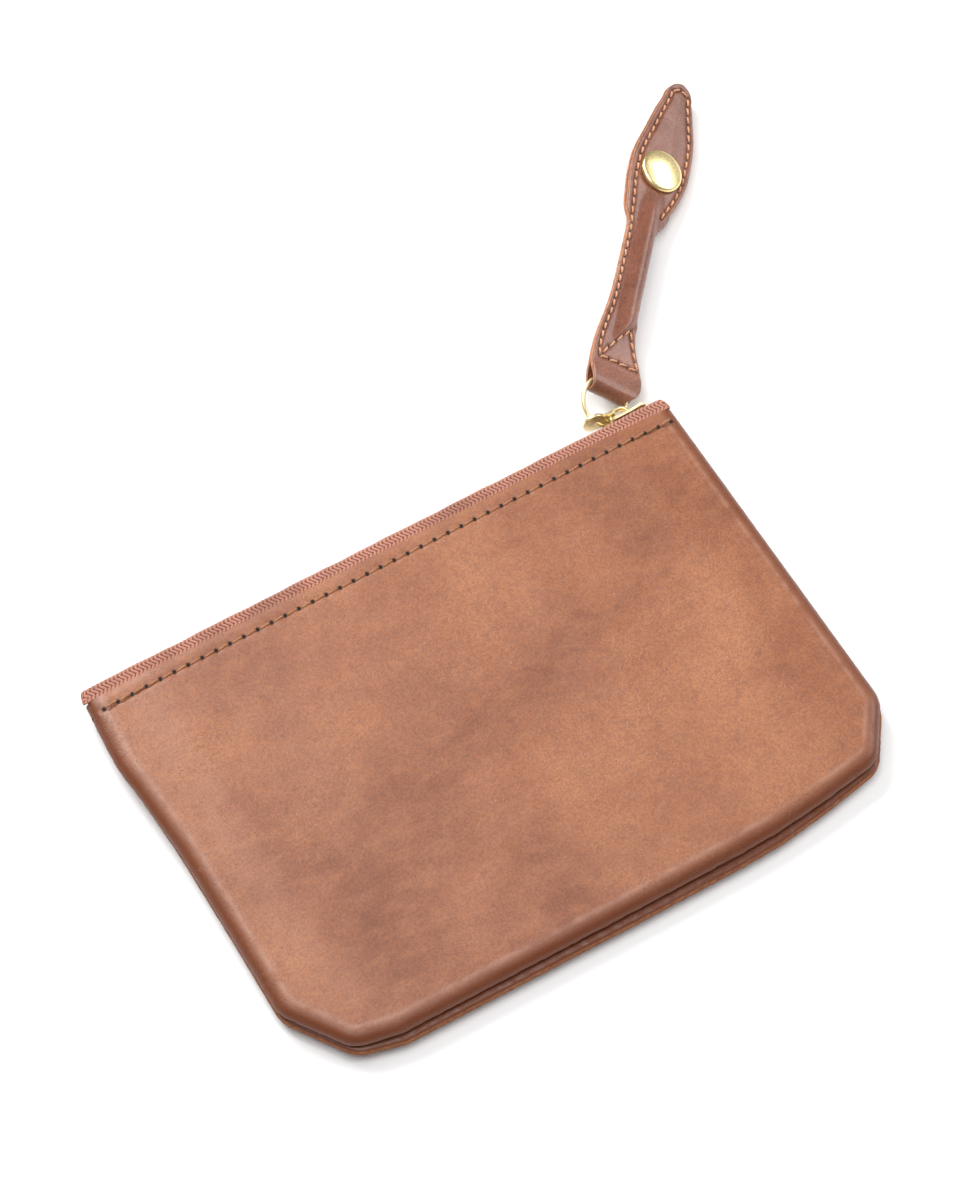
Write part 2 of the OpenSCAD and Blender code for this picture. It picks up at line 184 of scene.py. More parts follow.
class Shader:
    """A Principled material. Its patterns read the piece's own rest coordinates, in millimetres."""

    def __init__(self, name, **constants):
        self.mat = bpy.data.materials.new(name)
        self.mat.use_nodes = True
        self.tree = self.mat.node_tree
        self.tree.nodes.clear()
        out = self.node("ShaderNodeOutputMaterial")
        self.bsdf = self.node("ShaderNodeBsdfPrincipled", constants)
        self.tree.links.new(self.bsdf.outputs[0], out.inputs["Surface"])

    def node(self, kind, feeds=None, **settings):
        made = self.tree.nodes.new(kind)
        for key, value in settings.items():
            setattr(made, key, value)
        for key, value in (feeds or {}).items():
            self.feed(made.inputs[key], value)
        return made

    def feed(self, socket, value):
        if isinstance(value, bpy.types.NodeSocket):
            self.tree.links.new(value, socket)
        else:
            socket.default_value = value

    def rest(self, stretch=(1, 1, 1)):
        read = self.node("ShaderNodeAttribute", attribute_name="rest")
        turn = self.node("ShaderNodeMapping", {0: read.outputs["Vector"], 3: stretch})
        return turn.outputs[0]

    def value(self, name):
        return self.node("ShaderNodeAttribute", attribute_name=name).outputs["Fac"]

    def split(self, vector):
        return self.node("ShaderNodeSeparateXYZ", {0: vector}).outputs

    def noise(self, at, scale, detail=2.0, rough=0.5):
        feeds = {"Vector": at, "Scale": scale, "Detail": detail, "Roughness": rough}
        return self.node("ShaderNodeTexNoise", feeds).outputs["Fac"]

    def warp(self, at, scale, amount):
        """Coordinates pushed about by a coarse noise."""
        push = self.node("ShaderNodeTexNoise", {"Vector": at, "Scale": scale, "Detail": 2.0})
        centred = self.node("ShaderNodeVectorMath", {0: push.outputs["Color"], 1: (0.5,) * 3},
                            operation="SUBTRACT")
        scaled = self.node("ShaderNodeVectorMath", {0: centred.outputs[0], 3: amount},
                           operation="SCALE")
        return self.node("ShaderNodeVectorMath", {0: at, 1: scaled.outputs[0]},
                         operation="ADD").outputs[0]

    def cells(self, at, scale, feature="F1"):
        made = self.node("ShaderNodeTexVoronoi", {"Vector": at, "Scale": scale}, feature=feature)
        return made.outputs["Distance"]

    def math(self, operation, a, b=0.0, clamp=False):
        made = self.node("ShaderNodeMath", {0: a, 1: b}, operation=operation, use_clamp=clamp)
        return made.outputs[0]

    def times(self, a, b):
        return self.math("MULTIPLY", a, b)

    def step(self, value, low, high, out_low=0.0, out_high=1.0):
        feeds = {0: value, 1: low, 2: high, 3: out_low, 4: out_high}
        made = self.node("ShaderNodeMapRange", feeds, interpolation_type="SMOOTHSTEP")
        return made.outputs[0]

    def ramp(self, value, *stops):
        made = self.node("ShaderNodeValToRGB", {0: value})
        bar = made.color_ramp.elements
        while len(bar) < len(stops):
            bar.new(0.5)
        for element, (place, colour) in zip(bar, stops):
            element.position = place
            element.color = (*colour, 1)
        return made.outputs[0]

    def mix(self, share, a, b, blend="MIX"):
        made = self.node("ShaderNodeMix", data_type="RGBA", blend_type=blend)
        for place, value in ((0, share), (6, a), (7, b)):
            if isinstance(value, tuple):
                value = (*value, 1)
            self.feed(made.inputs[place], value)
        return made.outputs[2]

    def finish(self, colour, rough, height, depth):
        """depth is the height in millimetres that a height value of 1 stands for."""
        bump = self.node("ShaderNodeBump", {"Height": height, "Distance": depth * MM})
        bump.inputs["Strength"].default_value = 1.0
        for key, value in (("Base Color", colour), ("Roughness", rough),
                           ("Normal", bump.outputs[0])):
            self.feed(self.bsdf.inputs[key], value)
        return self.mat


def hole_mask(s, at, first, pitch, y, radius):
    """1 inside the row of needle holes along X."""
    part = s.split(at)
    along = s.math("SUBTRACT", part[0], first - pitch / 2)
    cell = s.math("SUBTRACT", s.math("FLOORED_MODULO", along, pitch), pitch / 2)
    across = s.math("SUBTRACT", part[1], y)
    square = s.math("ADD", s.times(cell, cell), s.times(across, across))
    return s.step(s.math("SQRT", square), radius * 0.65, radius * 1.25, 1.0, 0.0)


def leather(name, dark, middle, light, rim, holes=None, cloud=0.03, rough=0.47, grain=1.0,
            coat=0.06, coat_rough=0.38):
    """Waxed leather: cloudy colour, pores, hair-fine creases, rolls darkened as wear and as painted shade,
    and painted crest highlights.
    """
    s = Shader(name, **{"Specular IOR Level": 0.42, "Coat Weight": coat,
                        "Coat Roughness": coat_rough, "Sheen Weight": 0.03,
                        "Sheen Roughness": 0.45, "Sheen Tint": (1.0, 0.80, 0.80, 1)})
    at = s.rest()
    clouds = s.noise(s.warp(at, cloud * 0.8, 14.0), cloud, 5.0, 0.56)
    colour = s.ramp(clouds, (0.30, dark), (0.50, middle), (0.70, light))
    blotch = s.noise(s.rest((1, 1.7, 1)), cloud * 5, 4.0, 0.6)
    colour = s.mix(s.step(blotch, 0.42, 0.68, 0.0, 0.35), colour, light)
    smudge = s.noise(s.rest((1.5, 1, 1)), cloud * 11, 3.0, 0.6)
    colour = s.mix(s.step(smudge, 0.52, 0.75, 0.0, 0.30), colour, dark)
    speck = s.noise(at, 2.4, 3.0, 0.7)
    colour = s.mix(s.step(speck, 0.40, 0.62, 0.22, 0.0), colour, dark)
    pore = s.step(s.cells(at, 1.9), 0.10, 0.34, 1.0, 0.0)
    sparse = s.step(s.noise(at, 0.35, 2.0), 0.46, 0.60)
    pore = s.times(pore, sparse)
    colour = s.mix(s.times(pore, 0.30), colour, rim)
    crease_at = s.warp(s.rest((0.8, 1.35, 1)), 0.22, 5.0)
    crease = s.step(s.cells(crease_at, 0.42, "DISTANCE_TO_EDGE"), 0.0, 0.05, 1.0, 0.0)
    creased = s.step(s.noise(at, 0.055, 3.0, 0.6), 0.50, 0.66)
    crease = s.times(crease, creased)
    colour = s.mix(s.times(crease, 0.30), colour, light)
    mottle = s.noise(at, 2.1, 2.0, 0.6)
    colour = s.mix(0.9, colour, s.ramp(mottle, (0.38, MAUVE), (0.62, ORANGE)), "MULTIPLY")
    needle = s.value("hole")
    worn = s.value("edge")
    # A pale band just inside each roll's crest, broken up by the blotch noise: a painted highlight.
    crest = s.times(s.step(worn, 0.0, 0.25), s.step(worn, 0.25, 0.65, 1.0, 0.0))
    crest = s.times(crest, s.step(blotch, 0.30, 0.60, 0.04, 0.30))
    colour = s.mix(crest, colour, PAINTED_CREST_HIGHLIGHT)
    # The rolls are painted towards the rim colour: partly their real darker worn edges, partly painted shade
    # on their undersides and in the seam groove.
    colour = s.mix(s.times(worn, 0.96), colour, rim)
    height = s.math("SUBTRACT", s.times(speck, 0.5 * grain), pore)
    height = s.math("SUBTRACT", height, s.times(crease, 0.8))
    sheen = s.noise(at, 0.5, 3.0, 0.65)
    gloss = s.math("SUBTRACT", s.step(sheen, 0.3, 0.7, rough - 0.06, rough + 0.08),
                   s.times(worn, 0.06))
    # Needle holes beside the zip are painted near black: painted shade inside the holes.
    if holes:
        mask = hole_mask(s, at, *holes)
        colour = s.mix(mask, colour, (0.012, 0.006, 0.004))
        gloss = s.math("ADD", gloss, s.times(mask, 0.4), clamp=True)
    # Needle holes from the hole attribute are painted near black: painted shade inside the holes.
    colour = s.mix(s.step(needle, 0.35, 0.65), colour, (0.010, 0.005, 0.004))
    return s.finish(colour, gloss, height, 0.05)


def raw_edge(name, dark, light):
    """Cut leather edge: fibres running along the cut."""
    s = Shader(name, **{"Specular IOR Level": 0.3})
    fibre = s.noise(s.rest((0.6, 0.6, 5.0)), 1.6, 4.0, 0.65)
    fluff = s.noise(s.rest(), 5.0, 2.0)
    colour = s.ramp(fibre, (0.32, dark), (0.66, light))
    height = s.math("ADD", s.times(fibre, 0.7), s.times(fluff, 0.5))
    return s.finish(colour, s.step(fluff, 0.3, 0.7, 0.62, 0.8), height, 0.08)


def thread(name, dark, light):
    """Two-ply waxed thread: the twist is in the mesh, the fibres are here."""
    s = Shader(name, **{"Specular IOR Level": 0.4, "Sheen Weight": 0.15})
    fibre = s.noise(s.rest((1.5, 6, 6)), 2.2, 3.0, 0.6)
    shade = s.noise(s.rest(), 0.25, 2.0)
    colour = s.mix(s.step(shade, 0.35, 0.65, 0.0, 0.45), s.ramp(fibre, (0.3, dark), (0.7, light)),
                   dark)
    return s.finish(colour, s.step(fibre, 0.3, 0.7, 0.5, 0.66), fibre, 0.03)


def woven(name, dark, light):
    """Herringbone tape. The ribs are in the mesh, and "rib" says how high each point is."""
    s = Shader(name, **{"Specular IOR Level": 0.25, "Sheen Weight": 0.25,
                        "Sheen Roughness": 0.5, "Sheen Tint": (1.0, 0.9, 0.85, 1)})
    at = s.rest()
    rib = s.value("rib")
    yarn = s.noise(s.rest((3.0, 9.0, 9.0)), 1.1, 3.0, 0.7)
    # Low points of the weave are painted dark and high points light: painted shade in the weave's hollows.
    colour = s.ramp(rib, (0.10, dark), (0.55, light))
    bright = tuple(min(1, 1.35 * c) for c in light)
    colour = s.mix(s.step(yarn, 0.45, 0.7, 0.0, 0.5), colour, bright)
    colour = s.mix(s.step(s.noise(at, 0.09, 3.0), 0.4, 0.7, 0.0, 0.3), colour, dark)
    return s.finish(colour, s.step(yarn, 0.3, 0.7, 0.7, 0.88), yarn, 0.06)


def cloth(name, dark, light):
    """Plain woven lining."""
    s = Shader(name, **{"Specular IOR Level": 0.2, "Sheen Weight": 0.2})
    part = s.split(s.rest())
    warp = s.math("SINE", s.times(part[0], 9.0))
    weft = s.math("SINE", s.times(part[1], 9.0))
    weave = s.math("ADD", s.times(s.times(warp, weft), 0.5), 0.5)
    slub = s.noise(s.rest((0.4, 5, 1)), 1.2, 3.0)
    # The weave's low points are painted darker: painted shade in the weave.
    colour = s.mix(s.times(slub, 0.5), s.ramp(weave, (0.1, dark), (0.9, light)), dark)
    return s.finish(colour, s.step(slub, 0.3, 0.7, 0.75, 0.9), weave, 0.12)


def brass(name, base, worn, rough):
    """Polished brass with a thin tarnish and fine rub marks."""
    s = Shader(name, **{"Metallic": 1.0})
    tarnish = s.noise(s.rest(), 0.35, 4.0, 0.6)
    rub = s.noise(s.rest((1, 9, 3)), 1.3, 3.0, 0.7)
    pit = s.noise(s.rest(), 4.5, 2.0)
    colour = s.mix(s.step(tarnish, 0.45, 0.75, 0.0, 0.55), base, worn)
    gloss = s.math("ADD", s.step(rub, 0.35, 0.7, rough - 0.05, rough + 0.09),
                   s.step(tarnish, 0.5, 0.8, 0.0, 0.08))
    height = s.math("ADD", s.times(rub, 0.6), s.times(pit, 0.5))
    return s.finish(colour, gloss, height, 0.003)


# The needle holes along the zip: first X, pitch, Y and radius.
FIRST_HOLE = -(STITCH_COUNT - 1) * STITCH_PITCH / 2 - 0.3
HOLE_ROW = (FIRST_HOLE, STITCH_PITCH, STITCH_Y, 0.52)
# MAUVE and ORANGE tint the fine grain, and the third colour is the painted highlight on the rolls' crests.
MAUVE, ORANGE, PAINTED_CREST_HIGHLIGHT = (0.72, 0.68, 0.72), (1.0, 0.94, 0.84), (0.56, 0.34, 0.26)
TAN = [(0.209, 0.070, 0.033), (0.309, 0.119, 0.059), (0.415, 0.178, 0.088)]
DEEP = [(0.150, 0.048, 0.026), (0.226, 0.081, 0.045), (0.318, 0.125, 0.074)]
# The fourth colour of each leather darkens its pores and is the colour its rolls are painted towards, partly
# as worn edges and partly as painted shade.
MATS = {
    "panel": leather("panel_leather", *TAN, (0.135, 0.032, 0.008), holes=HOLE_ROW, rough=0.43,
                     coat=0.03, grain=1.3),
    "strap": leather("strap_leather", *DEEP, (0.060, 0.018, 0.010), cloud=0.06, rough=0.31,
                     coat=0.30, coat_rough=0.20, grain=3.4),
    "panel_cut": raw_edge("panel_cut_edge", (0.115, 0.036, 0.016), (0.34, 0.135, 0.060)),
    "strap_cut": raw_edge("strap_cut_edge", (0.30, 0.11, 0.055), (0.55, 0.25, 0.13)),
    "thread": thread("stitch_thread", (0.46, 0.20, 0.10), (0.80, 0.46, 0.29)),
    "zip_thread": thread("zip_stitch_thread", (0.20, 0.070, 0.026), (0.52, 0.23, 0.095)),
    "tape": woven("zip_tape_weave", (0.060, 0.019, 0.012), (0.47, 0.205, 0.143)),
    "lining": cloth("lining_cloth", (0.10, 0.06, 0.04), (0.22, 0.14, 0.10)),
    "zip_brass": brass("zip_brass", (0.98, 0.83, 0.50), (0.88, 0.68, 0.35), 0.32),
    "snap_brass": brass("snap_brass", (0.96, 0.78, 0.40), (0.80, 0.58, 0.22), 0.26),
}

# --- mesh tools


def piece(name, points, faces, mats, slot, nodes, body=None, kinds=None, rest=None, values=None,
          smooth=40):
    """A mesh piece from points in millimetres, which stands for the CAD nodes.

    kinds says which of mats each face takes. A piece without a body is blended afterwards.
    """
    points = np.asarray(points, float)
    mesh = bpy.data.meshes.new(name)
    mesh.from_pydata((points * MM).tolist(), [], [list(map(int, f)) for f in faces])
    mesh.validate()
    for m in mats:
        mesh.materials.append(MATS[m])
    if kinds is not None:
        mesh.polygons.foreach_set("material_index", np.asarray(kinds, np.int32))
    mesh.attributes.new("rest", "FLOAT_VECTOR", "POINT").data.foreach_set(
        "vector", np.asarray(points if rest is None else rest, np.float32).ravel())
    for key, numbers in (values or {}).items():
        mesh.attributes.new(key, "FLOAT", "POINT").data.foreach_set(
            "value", np.asarray(numbers, np.float32))
    mesh.polygons.foreach_set("use_smooth", np.ones(len(mesh.polygons), bool))
    mesh.set_sharp_from_angle(angle=math.radians(smooth))
    mesh.update()
    made = add_object(name, mesh)
    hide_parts(*nodes)
    if body:
        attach(made, body)
    return made


def grid_faces(rows, cols, wrap_rows=False, wrap_cols=False, start=0):
    """Quads of a rows x cols grid of points, row by row."""
    i = np.arange(rows if wrap_rows else rows - 1)
    j = np.arange(cols if wrap_cols else cols - 1)
    a, b = np.meshgrid(i, j, indexing="ij")
    a2, b2 = (a + 1) % rows, (b + 1) % cols
    quads = np.stack([a * cols + b, a * cols + b2, a2 * cols + b2, a2 * cols + b], -1)
    return quads.reshape(-1, 4) + start


def pipe_faces(rings, around):
    """Faces of a row of rings, closed at both ends."""
    faces = grid_faces(rings, around, wrap_cols=True).tolist()
    return faces + [list(range(around))[::-1], [(rings - 1) * around + k for k in range(around)]]


def joined(*shapes):
    """Several (points, faces) shapes as one."""
    points, faces, count = [], [], 0
    for p, f in shapes:
        points.append(np.asarray(p))
        faces += [[int(v) + count for v in face] for face in f]
        count += len(p)
    return np.concatenate(points), faces


def moved(shape, place):
    return shape[0] + np.asarray(place, float), shape[1]


def on_side(points, faces, side):
    """Puts half a pouch, made over z = 0, in front of (1) or behind (-1) the seam plane."""
    points = points * [1, 1, side] + [0, 0, MID_Z]
    return points, [f[::-1] for f in faces] if side < 0 else faces


def unit(v):
    return v / np.linalg.norm(v, axis=-1, keepdims=True)


def bell(squared_distance, height, width):
    return height * np.exp(-squared_distance / (2 * width ** 2))


def smoothstep(x, low, high):
    t = np.clip((np.asarray(x, float) - low) / (high - low), 0, 1)
    return t * t * (3 - 2 * t)


def curve_through(pairs):
    """A smooth function through (place, value) pairs, which never overshoots them."""
    xs, ys = (np.array(v, float) for v in zip(*pairs))
    gaps = np.diff(xs)
    slopes = np.diff(ys) / gaps
    tangent = np.zeros(len(xs))
    for k in range(1, len(xs) - 1):
        a, b = slopes[k - 1], slopes[k]
        tangent[k] = 2 * a * b / (a + b) if a * b > 0 else 0
    tangent[0], tangent[-1] = slopes[0], slopes[-1]

    def at(x):
        x = np.clip(np.asarray(x, float), xs[0], xs[-1])
        k = np.clip(np.searchsorted(xs, x, side="right") - 1, 0, len(gaps) - 1)
        t = (x - xs[k]) / gaps[k]
        return (ys[k] * (1 + 2 * t) * (1 - t) ** 2 + gaps[k] * tangent[k] * t * (1 - t) ** 2
                + ys[k + 1] * t * t * (3 - 2 * t) + gaps[k] * tangent[k + 1] * t * t * (t - 1))

    return at


def lumps(points, size, seed):
    """Smooth noise, mostly between -1 and 1, from seeded waves about size millimetres long."""
    rng = np.random.default_rng(seed)
    total = np.zeros(points.shape[:-1])
    for _ in range(9):
        way = rng.normal(size=3)
        way *= rng.uniform(0.6, 1.5) * 2 * math.pi / size / np.linalg.norm(way)
        total += np.sin(points @ way + rng.uniform(0, 2 * math.pi))
    return total / 4.5


def arch_blend(obj):
    """Joins the pouch and its front: the middle of the mouth lifts, and its ends stay sewn."""
    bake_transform(obj, "pouch", "front", start=(0, 0, 0), end=(0, 0, 0.01))
    mesh = obj.data
    if "arch_x" in mesh.attributes:
        x = np.zeros(len(mesh.vertices), np.float32)
        mesh.attributes["arch_x"].data.foreach_get("value", x)
    else:
        at = np.zeros(len(mesh.vertices) * 3, np.float32)
        mesh.vertices.foreach_get("co", at)
        x = at[::3] / MM
    lift = 0.5 * (1 + np.cos(math.pi * np.clip(np.abs(x) / ARCH_HALF, 0, 1)))
    mesh.attributes["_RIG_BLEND"].data.foreach_set("value", lift.astype(np.float32))


# --- panels


def rim_arcs(rim, inset):
    """The outline below the sides, moved in by inset, as one arc at each of its corners."""
    lowest, bow = rim
    floor = bow - lowest
    corners = [(-HALF_W, MOUTH_Y), (-HALF_W, floor + LEFT_CUT[1]), (LEFT_CUT[0] - HALF_W, floor)]
    corners += [(x, share * bow - lowest) for x, share in BOW_SHAPE]
    corners += [(HALF_W - RIGHT_CUT[0], floor), (HALF_W, floor + RIGHT_CUT[1]), (HALF_W, MOUTH_Y)]
    corners = np.array(corners)
    ways = unit(np.diff(corners, axis=0))
    inward = np.column_stack([-ways[:, 1], ways[:, 0]])
    arcs = []
    for corner, a, b in zip(corners[1:-1], inward[:-1], inward[1:]):
        middle = corner + CORNER_R * (a + b) / (1 + a @ b)
        turn = unit(a + (b - a) * np.linspace(0, 1, ARC_STEPS)[:, None])
        arcs.append(middle - (CORNER_R - inset) * turn)
    return arcs


def rim_line(rim, inset):
    """Left corner, bowed bottom and right corner of the outline, moved in by inset."""
    arcs = rim_arcs(rim, inset)

    def cut_corner(a, b):
        return np.concatenate([a, a[-1] + (b[0] - a[-1]) * np.linspace(0, 1, 11)[1:-1, None], b])

    return cut_corner(*arcs[:2]), np.concatenate(arcs[2:-2]), cut_corner(*arcs[-2:])


def panel_columns(last_x):
    """X of the columns between the corners: fine beside each needle hole."""
    offsets = (-0.40, -0.17, 0.17, 0.40, 0.95, 1.63, 2.30)
    xs = [FIRST_HOLE + k * STITCH_PITCH + o for k in range(STITCH_COUNT) for o in offsets]
    return np.array([x for x in sorted(xs) if abs(x) < last_x - 0.9])


def side_rows():
    """Y of the rows at the sides, from the mouth down: fine beside the stitches."""
    near = [MOUTH_Y, MOUTH_Y - 0.3, MOUTH_Y - 0.8, MOUTH_Y - 1.5, STITCH_Y + 1.1]
    hole = [STITCH_Y + d for d in (0.75, 0.42, 0.18, -0.18, -0.42, -0.75, -1.2, -1.8)]
    corner_y = FRONT_RIM[1] - FRONT_RIM[0] + LEFT_CUT[1]
    far = list(np.linspace(STITCH_Y - 2.8, corner_y + 3.2, 60))
    return np.array(near + hole + far)


# Section of a panel from its face round the rolled edge to the seam: inset and height.
ROLL = [(4.6, 4.2), (4.1, 4.17), (3.6, 4.11), (3.1, 4.03), (2.6, 3.92), (2.1, 3.76), (1.65, 3.55),
        (1.25, 3.30), (0.9, 3.0), (0.6, 2.66), (0.35, 2.3), (0.15, 1.92), (0.04, 1.55),
        (0.04, 1.2), (0.2, 0.85), (0.45, 0.55), (0.8, 0.32), (1.25, 0.22), (2.2, 0.21),
        (3.6, 0.21), (5.0, 0.21), (6.0, 0.21)]


def panel_floor(rim, inset, columns=None):
    """The outline with its bottom sampled at the columns. Returns left, bottom and right part."""
    left, bowed, right = rim_line(rim, inset)
    if columns is None:
        columns = panel_columns(min(-left[-1][0], right[0][0]))
    line = np.concatenate([left[-1:], bowed, right[:1]])
    return left, np.column_stack([columns, np.interp(columns, *line.T)]), right


def panel_surface(rim):
    """Outer skin of a panel above its seam plane: a grid inside, and rings out over the roll."""
    inset, top = ROLL[0]
    left, base, right = panel_floor(rim, inset)
    middle = base[:, 0]
    floor_line = np.concatenate([left, base, right])
    rows = np.append(side_rows(), left[0][1])
    share = smoothstep((MOUTH_Y - rows) / (MOUTH_Y - rows[-1]), 0.10, 1.0)
    y = rows[:, None] + (floor_line[:, 1] - left[0][1])[None, :] * share[:, None]
    x = np.repeat(floor_line[None, :, 0], len(rows), 0)
    inner = np.stack([x, y, np.full_like(x, top)], -1).reshape(-1, 3)
    n_rows, n_cols = x.shape
    faces = [grid_faces(n_rows, n_cols)]
    previous = np.array([r * n_cols for r in range(n_rows)]
                        + [(n_rows - 1) * n_cols + c for c in range(1, n_cols)]
                        + [r * n_cols + n_cols - 1 for r in range(n_rows - 2, -1, -1)])
    points, edge = [inner], [np.zeros(len(inner))]
    for inset, height in ROLL[1:]:
        left, base, right = panel_floor(rim, inset, middle)
        down = np.column_stack([np.full(n_rows - 1, inset - HALF_W), y[:-1, 0]])
        up = np.column_stack([np.full(n_rows - 1, HALF_W - inset), y[-2::-1, -1]])
        line = np.concatenate([down, left, base, right, up])
        start = sum(len(p) for p in points)
        now = np.arange(start, start + len(line))
        faces.append(np.stack([previous[:-1], previous[1:], now[1:], now[:-1]], -1))
        points.append(np.column_stack([line, np.full(len(line), height)]))
        # The roll's paint weight rises from the face to the rim as wear and painted shade, and is full on
        # the seam allowance in the groove between the panels, which is painted shade.
        worn = float(smoothstep(-inset, -4.4, -0.4)) if height > 0.3 else 1.0
        edge.append(np.full(len(line), worn))
        previous = now
    return np.concatenate(points), np.concatenate(faces), np.concatenate(edge)


def grid_normals(points, faces):
    normals = np.zeros_like(points)
    a, b, c, d = (points[faces[:, k]] for k in range(4))
    n = np.cross(c - a, d - b)
    for k in range(4):
        np.add.at(normals, faces[:, k], n)
    return normals / np.maximum(np.linalg.norm(normals, axis=1), 1e-9)[:, None]


def shell(points, faces, thickness):
    """Closes an open skin into a wall of that thickness. Returns points, faces and rim count."""
    inner = points - grid_normals(points, faces) * np.reshape(thickness, (-1, 1))
    n = len(points)
    edges = {}
    for f in faces.tolist():
        for a, b in zip(f, f[1:] + f[:1]):
            if (b, a) in edges:
                del edges[(b, a)]
            else:
                edges[(a, b)] = 1
    rim = np.array([[b, a, a + n, b + n] for a, b in edges])
    return (np.concatenate([points, inner]),
            np.concatenate([faces, faces[:, ::-1] + n, rim]), len(rim))


SWELL = curve_through([(-14, 0), (7, 0.1), (16.5, 0.42), (24.7, 0.72), (32, 1.0), (38, 0.9),
                       (47, 0.6)])
# How far the left side swells, how much a panel sinks from its middle to its seam, and how wide.
BACK_SWELL, FRONT_SWELL, PUFF, PUFF_WIDTH = 1.5, 2.2, 0.12, 11
# Depth and width of each needle hole, the dent round it, the seam and the edge of the mouth.
HOLE_SINK, DENT_SINK, SEAM_SINK, MOUTH_SINK = (0.42, 0.27), (0.10, 0.62), (0.13, 0.45), (0.22, 0.5)
# Height of the leather's long and short waves and of the cut edge's roughness.
LONG_WAVE, SHORT_WAVE, FRAY = 0.11, 0.03, 0.07


def swell(x, y, reach):
    """How far the left side bulges outwards near the mouth."""
    return reach * SWELL(y) * smoothstep(-x, 58, 69.5)


def make_panel(name, rim, node, side, seed, body=None):
    points, faces, edge = panel_surface(rim)
    seam_gap = route_gap(points[:, 0], points[:, 1], seam_route(rim, ROLL[0][0]))
    seam_gap *= points[:, 2] > ROLL[0][1] - 0.01
    points[:, 2] *= 1 - PUFF * (1 - smoothstep(seam_gap, 0, PUFF_WIDTH))
    points[:, 0] -= swell(points[:, 0], points[:, 1], BACK_SWELL if side < 0 else FRONT_SWELL)
    if grid_normals(points, faces)[0][2] < 0:
        faces = faces[:, ::-1]
    normals = grid_normals(points, faces)
    x, y = points[:, 0], points[:, 1]
    up = smoothstep(points[:, 2], 2.6, 3.6)
    along = (x - FIRST_HOLE + STITCH_PITCH / 2) % STITCH_PITCH - STITCH_PITCH / 2
    across = (y - STITCH_Y) ** 2
    from_hole = along ** 2 + across
    sink = up * (bell(from_hole, *HOLE_SINK) + bell(from_hole, *DENT_SINK)
                 + bell(across, *SEAM_SINK) + bell((y - MOUTH_Y) ** 2, *MOUTH_SINK))
    flat = np.column_stack([x, y, 0 * x])
    wave = lumps(flat, 34, seed) * LONG_WAVE + lumps(flat, 11, seed + 1) * SHORT_WAVE
    wave *= smoothstep(-np.abs(x), -66, -52) * smoothstep(-y, -43, -34) * smoothstep(y, -44, -34)
    frayed = lumps(points, 1.9, seed + 2) * FRAY * smoothstep(-points[:, 2], -1.9, -1.2)
    points = points + normals * (wave * up - sink - 0.08 * up + frayed)[:, None]
    closed, all_faces, wall = shell(points, faces, LEATHER_T * (1 - 0.35 * edge))
    kinds = np.zeros(len(all_faces), int)
    kinds[-wall:] = 1
    if side < 0:
        low = points[faces, 2]
        kinds[:len(faces)] = (low.max(1) < 1.7) & (low.min(1) > 0.4)
    closed, all_faces = on_side(closed, all_faces, side)
    return piece(name, closed, all_faces, ["panel", "panel_cut"], "panel_leather", [node], body,
                 kinds, values={"edge": np.concatenate([edge, edge * 0])}, smooth=50)


# --- threads

# Radius of each thread, and how high a stitch arches.
ZIP_THREAD, SEAM_THREAD, STRAP_THREAD = (0.26, 0.10), (0.22, 0.06), (0.24, 0.10)
# How far a stitch's ends dip, how much they narrow, and the groove between its plies.
END_DIP, END_TAPER, PLY_GROOVE = 0.30, 0.5, 0.20


def stitch_mesh(start, end, up, radius, rise, turns, steps=12, around=8):
    """One stitch: two plies twisted together, arched over the leather and dipping at its ends."""
    start, end, up = (np.asarray(v, float) for v in (start, end, up))
    t = np.linspace(0, 1, steps)
    path = start + (end - start) * t[:, None] + up * (rise * np.sin(math.pi * t) ** 0.7
                                                       - END_DIP * (2 * t - 1) ** 8)[:, None]
    side = np.cross(unit(end - start), up)
    angle = np.linspace(0, 2 * math.pi, around, endpoint=False)
    taper = radius * (1 - END_TAPER * np.abs(2 * t - 1) ** 6)
    spin = 2 * math.pi * turns * t
    lobes = 1 + PLY_GROOVE * np.cos(2 * (angle[None, :] - spin[:, None] / 2))
    ring = (np.cos(angle)[None, :, None] * side + np.sin(angle)[None, :, None] * up)
    points = path[:, None, :] + ring * (taper[:, None] * lobes)[:, :, None]
    return points.reshape(-1, 3), pipe_faces(steps, around)


def thread_piece(name, stitches, radius, rise, nodes, body=None, turns=3, kind="thread"):
    """All the stitches of one seam as one piece. Each stitch is (start, end, up)."""
    shapes = [stitch_mesh(*stitch, radius, rise, turns) for stitch in stitches]
    middles = [float((start[0] + end[0]) / 2) for start, end, _ in stitches]
    arch = np.repeat(middles, len(shapes[0][0]))
    return piece(name, *joined(*shapes), [kind], "thread", nodes, body,
                 values={"arch_x": arch}, smooth=75)


def zip_stitches(name, side, body=None):
    """The row of stitches beside the zip, slanted from hole to hole."""
    height = MID_Z + side * (MID_Z - 0.26)
    holes = [FIRST_HOLE + k * STITCH_PITCH for k in range(STITCH_COUNT - 1)]
    rows = [((x + 0.34, STITCH_Y - 0.22, height),
             (x + STITCH_PITCH - 0.28, STITCH_Y + 0.20, height), (0, 0, side)) for x in holes]
    node = "front_zip_thread" if side > 0 else "back_zip_thread"
    return thread_piece(name, rows, *ZIP_THREAD, [node], body, kind="zip_thread")


def make_panels():
    make_panel("back_panel_leather", BACK_RIM, "back_panel", -1, 5, "pouch")
    arch_blend(make_panel("front_panel_leather", FRONT_RIM, "front_panel", 1, 2))
    zip_stitches("back_zip_stitches", -1, "pouch")
    arch_blend(zip_stitches("front_zip_stitches", 1))


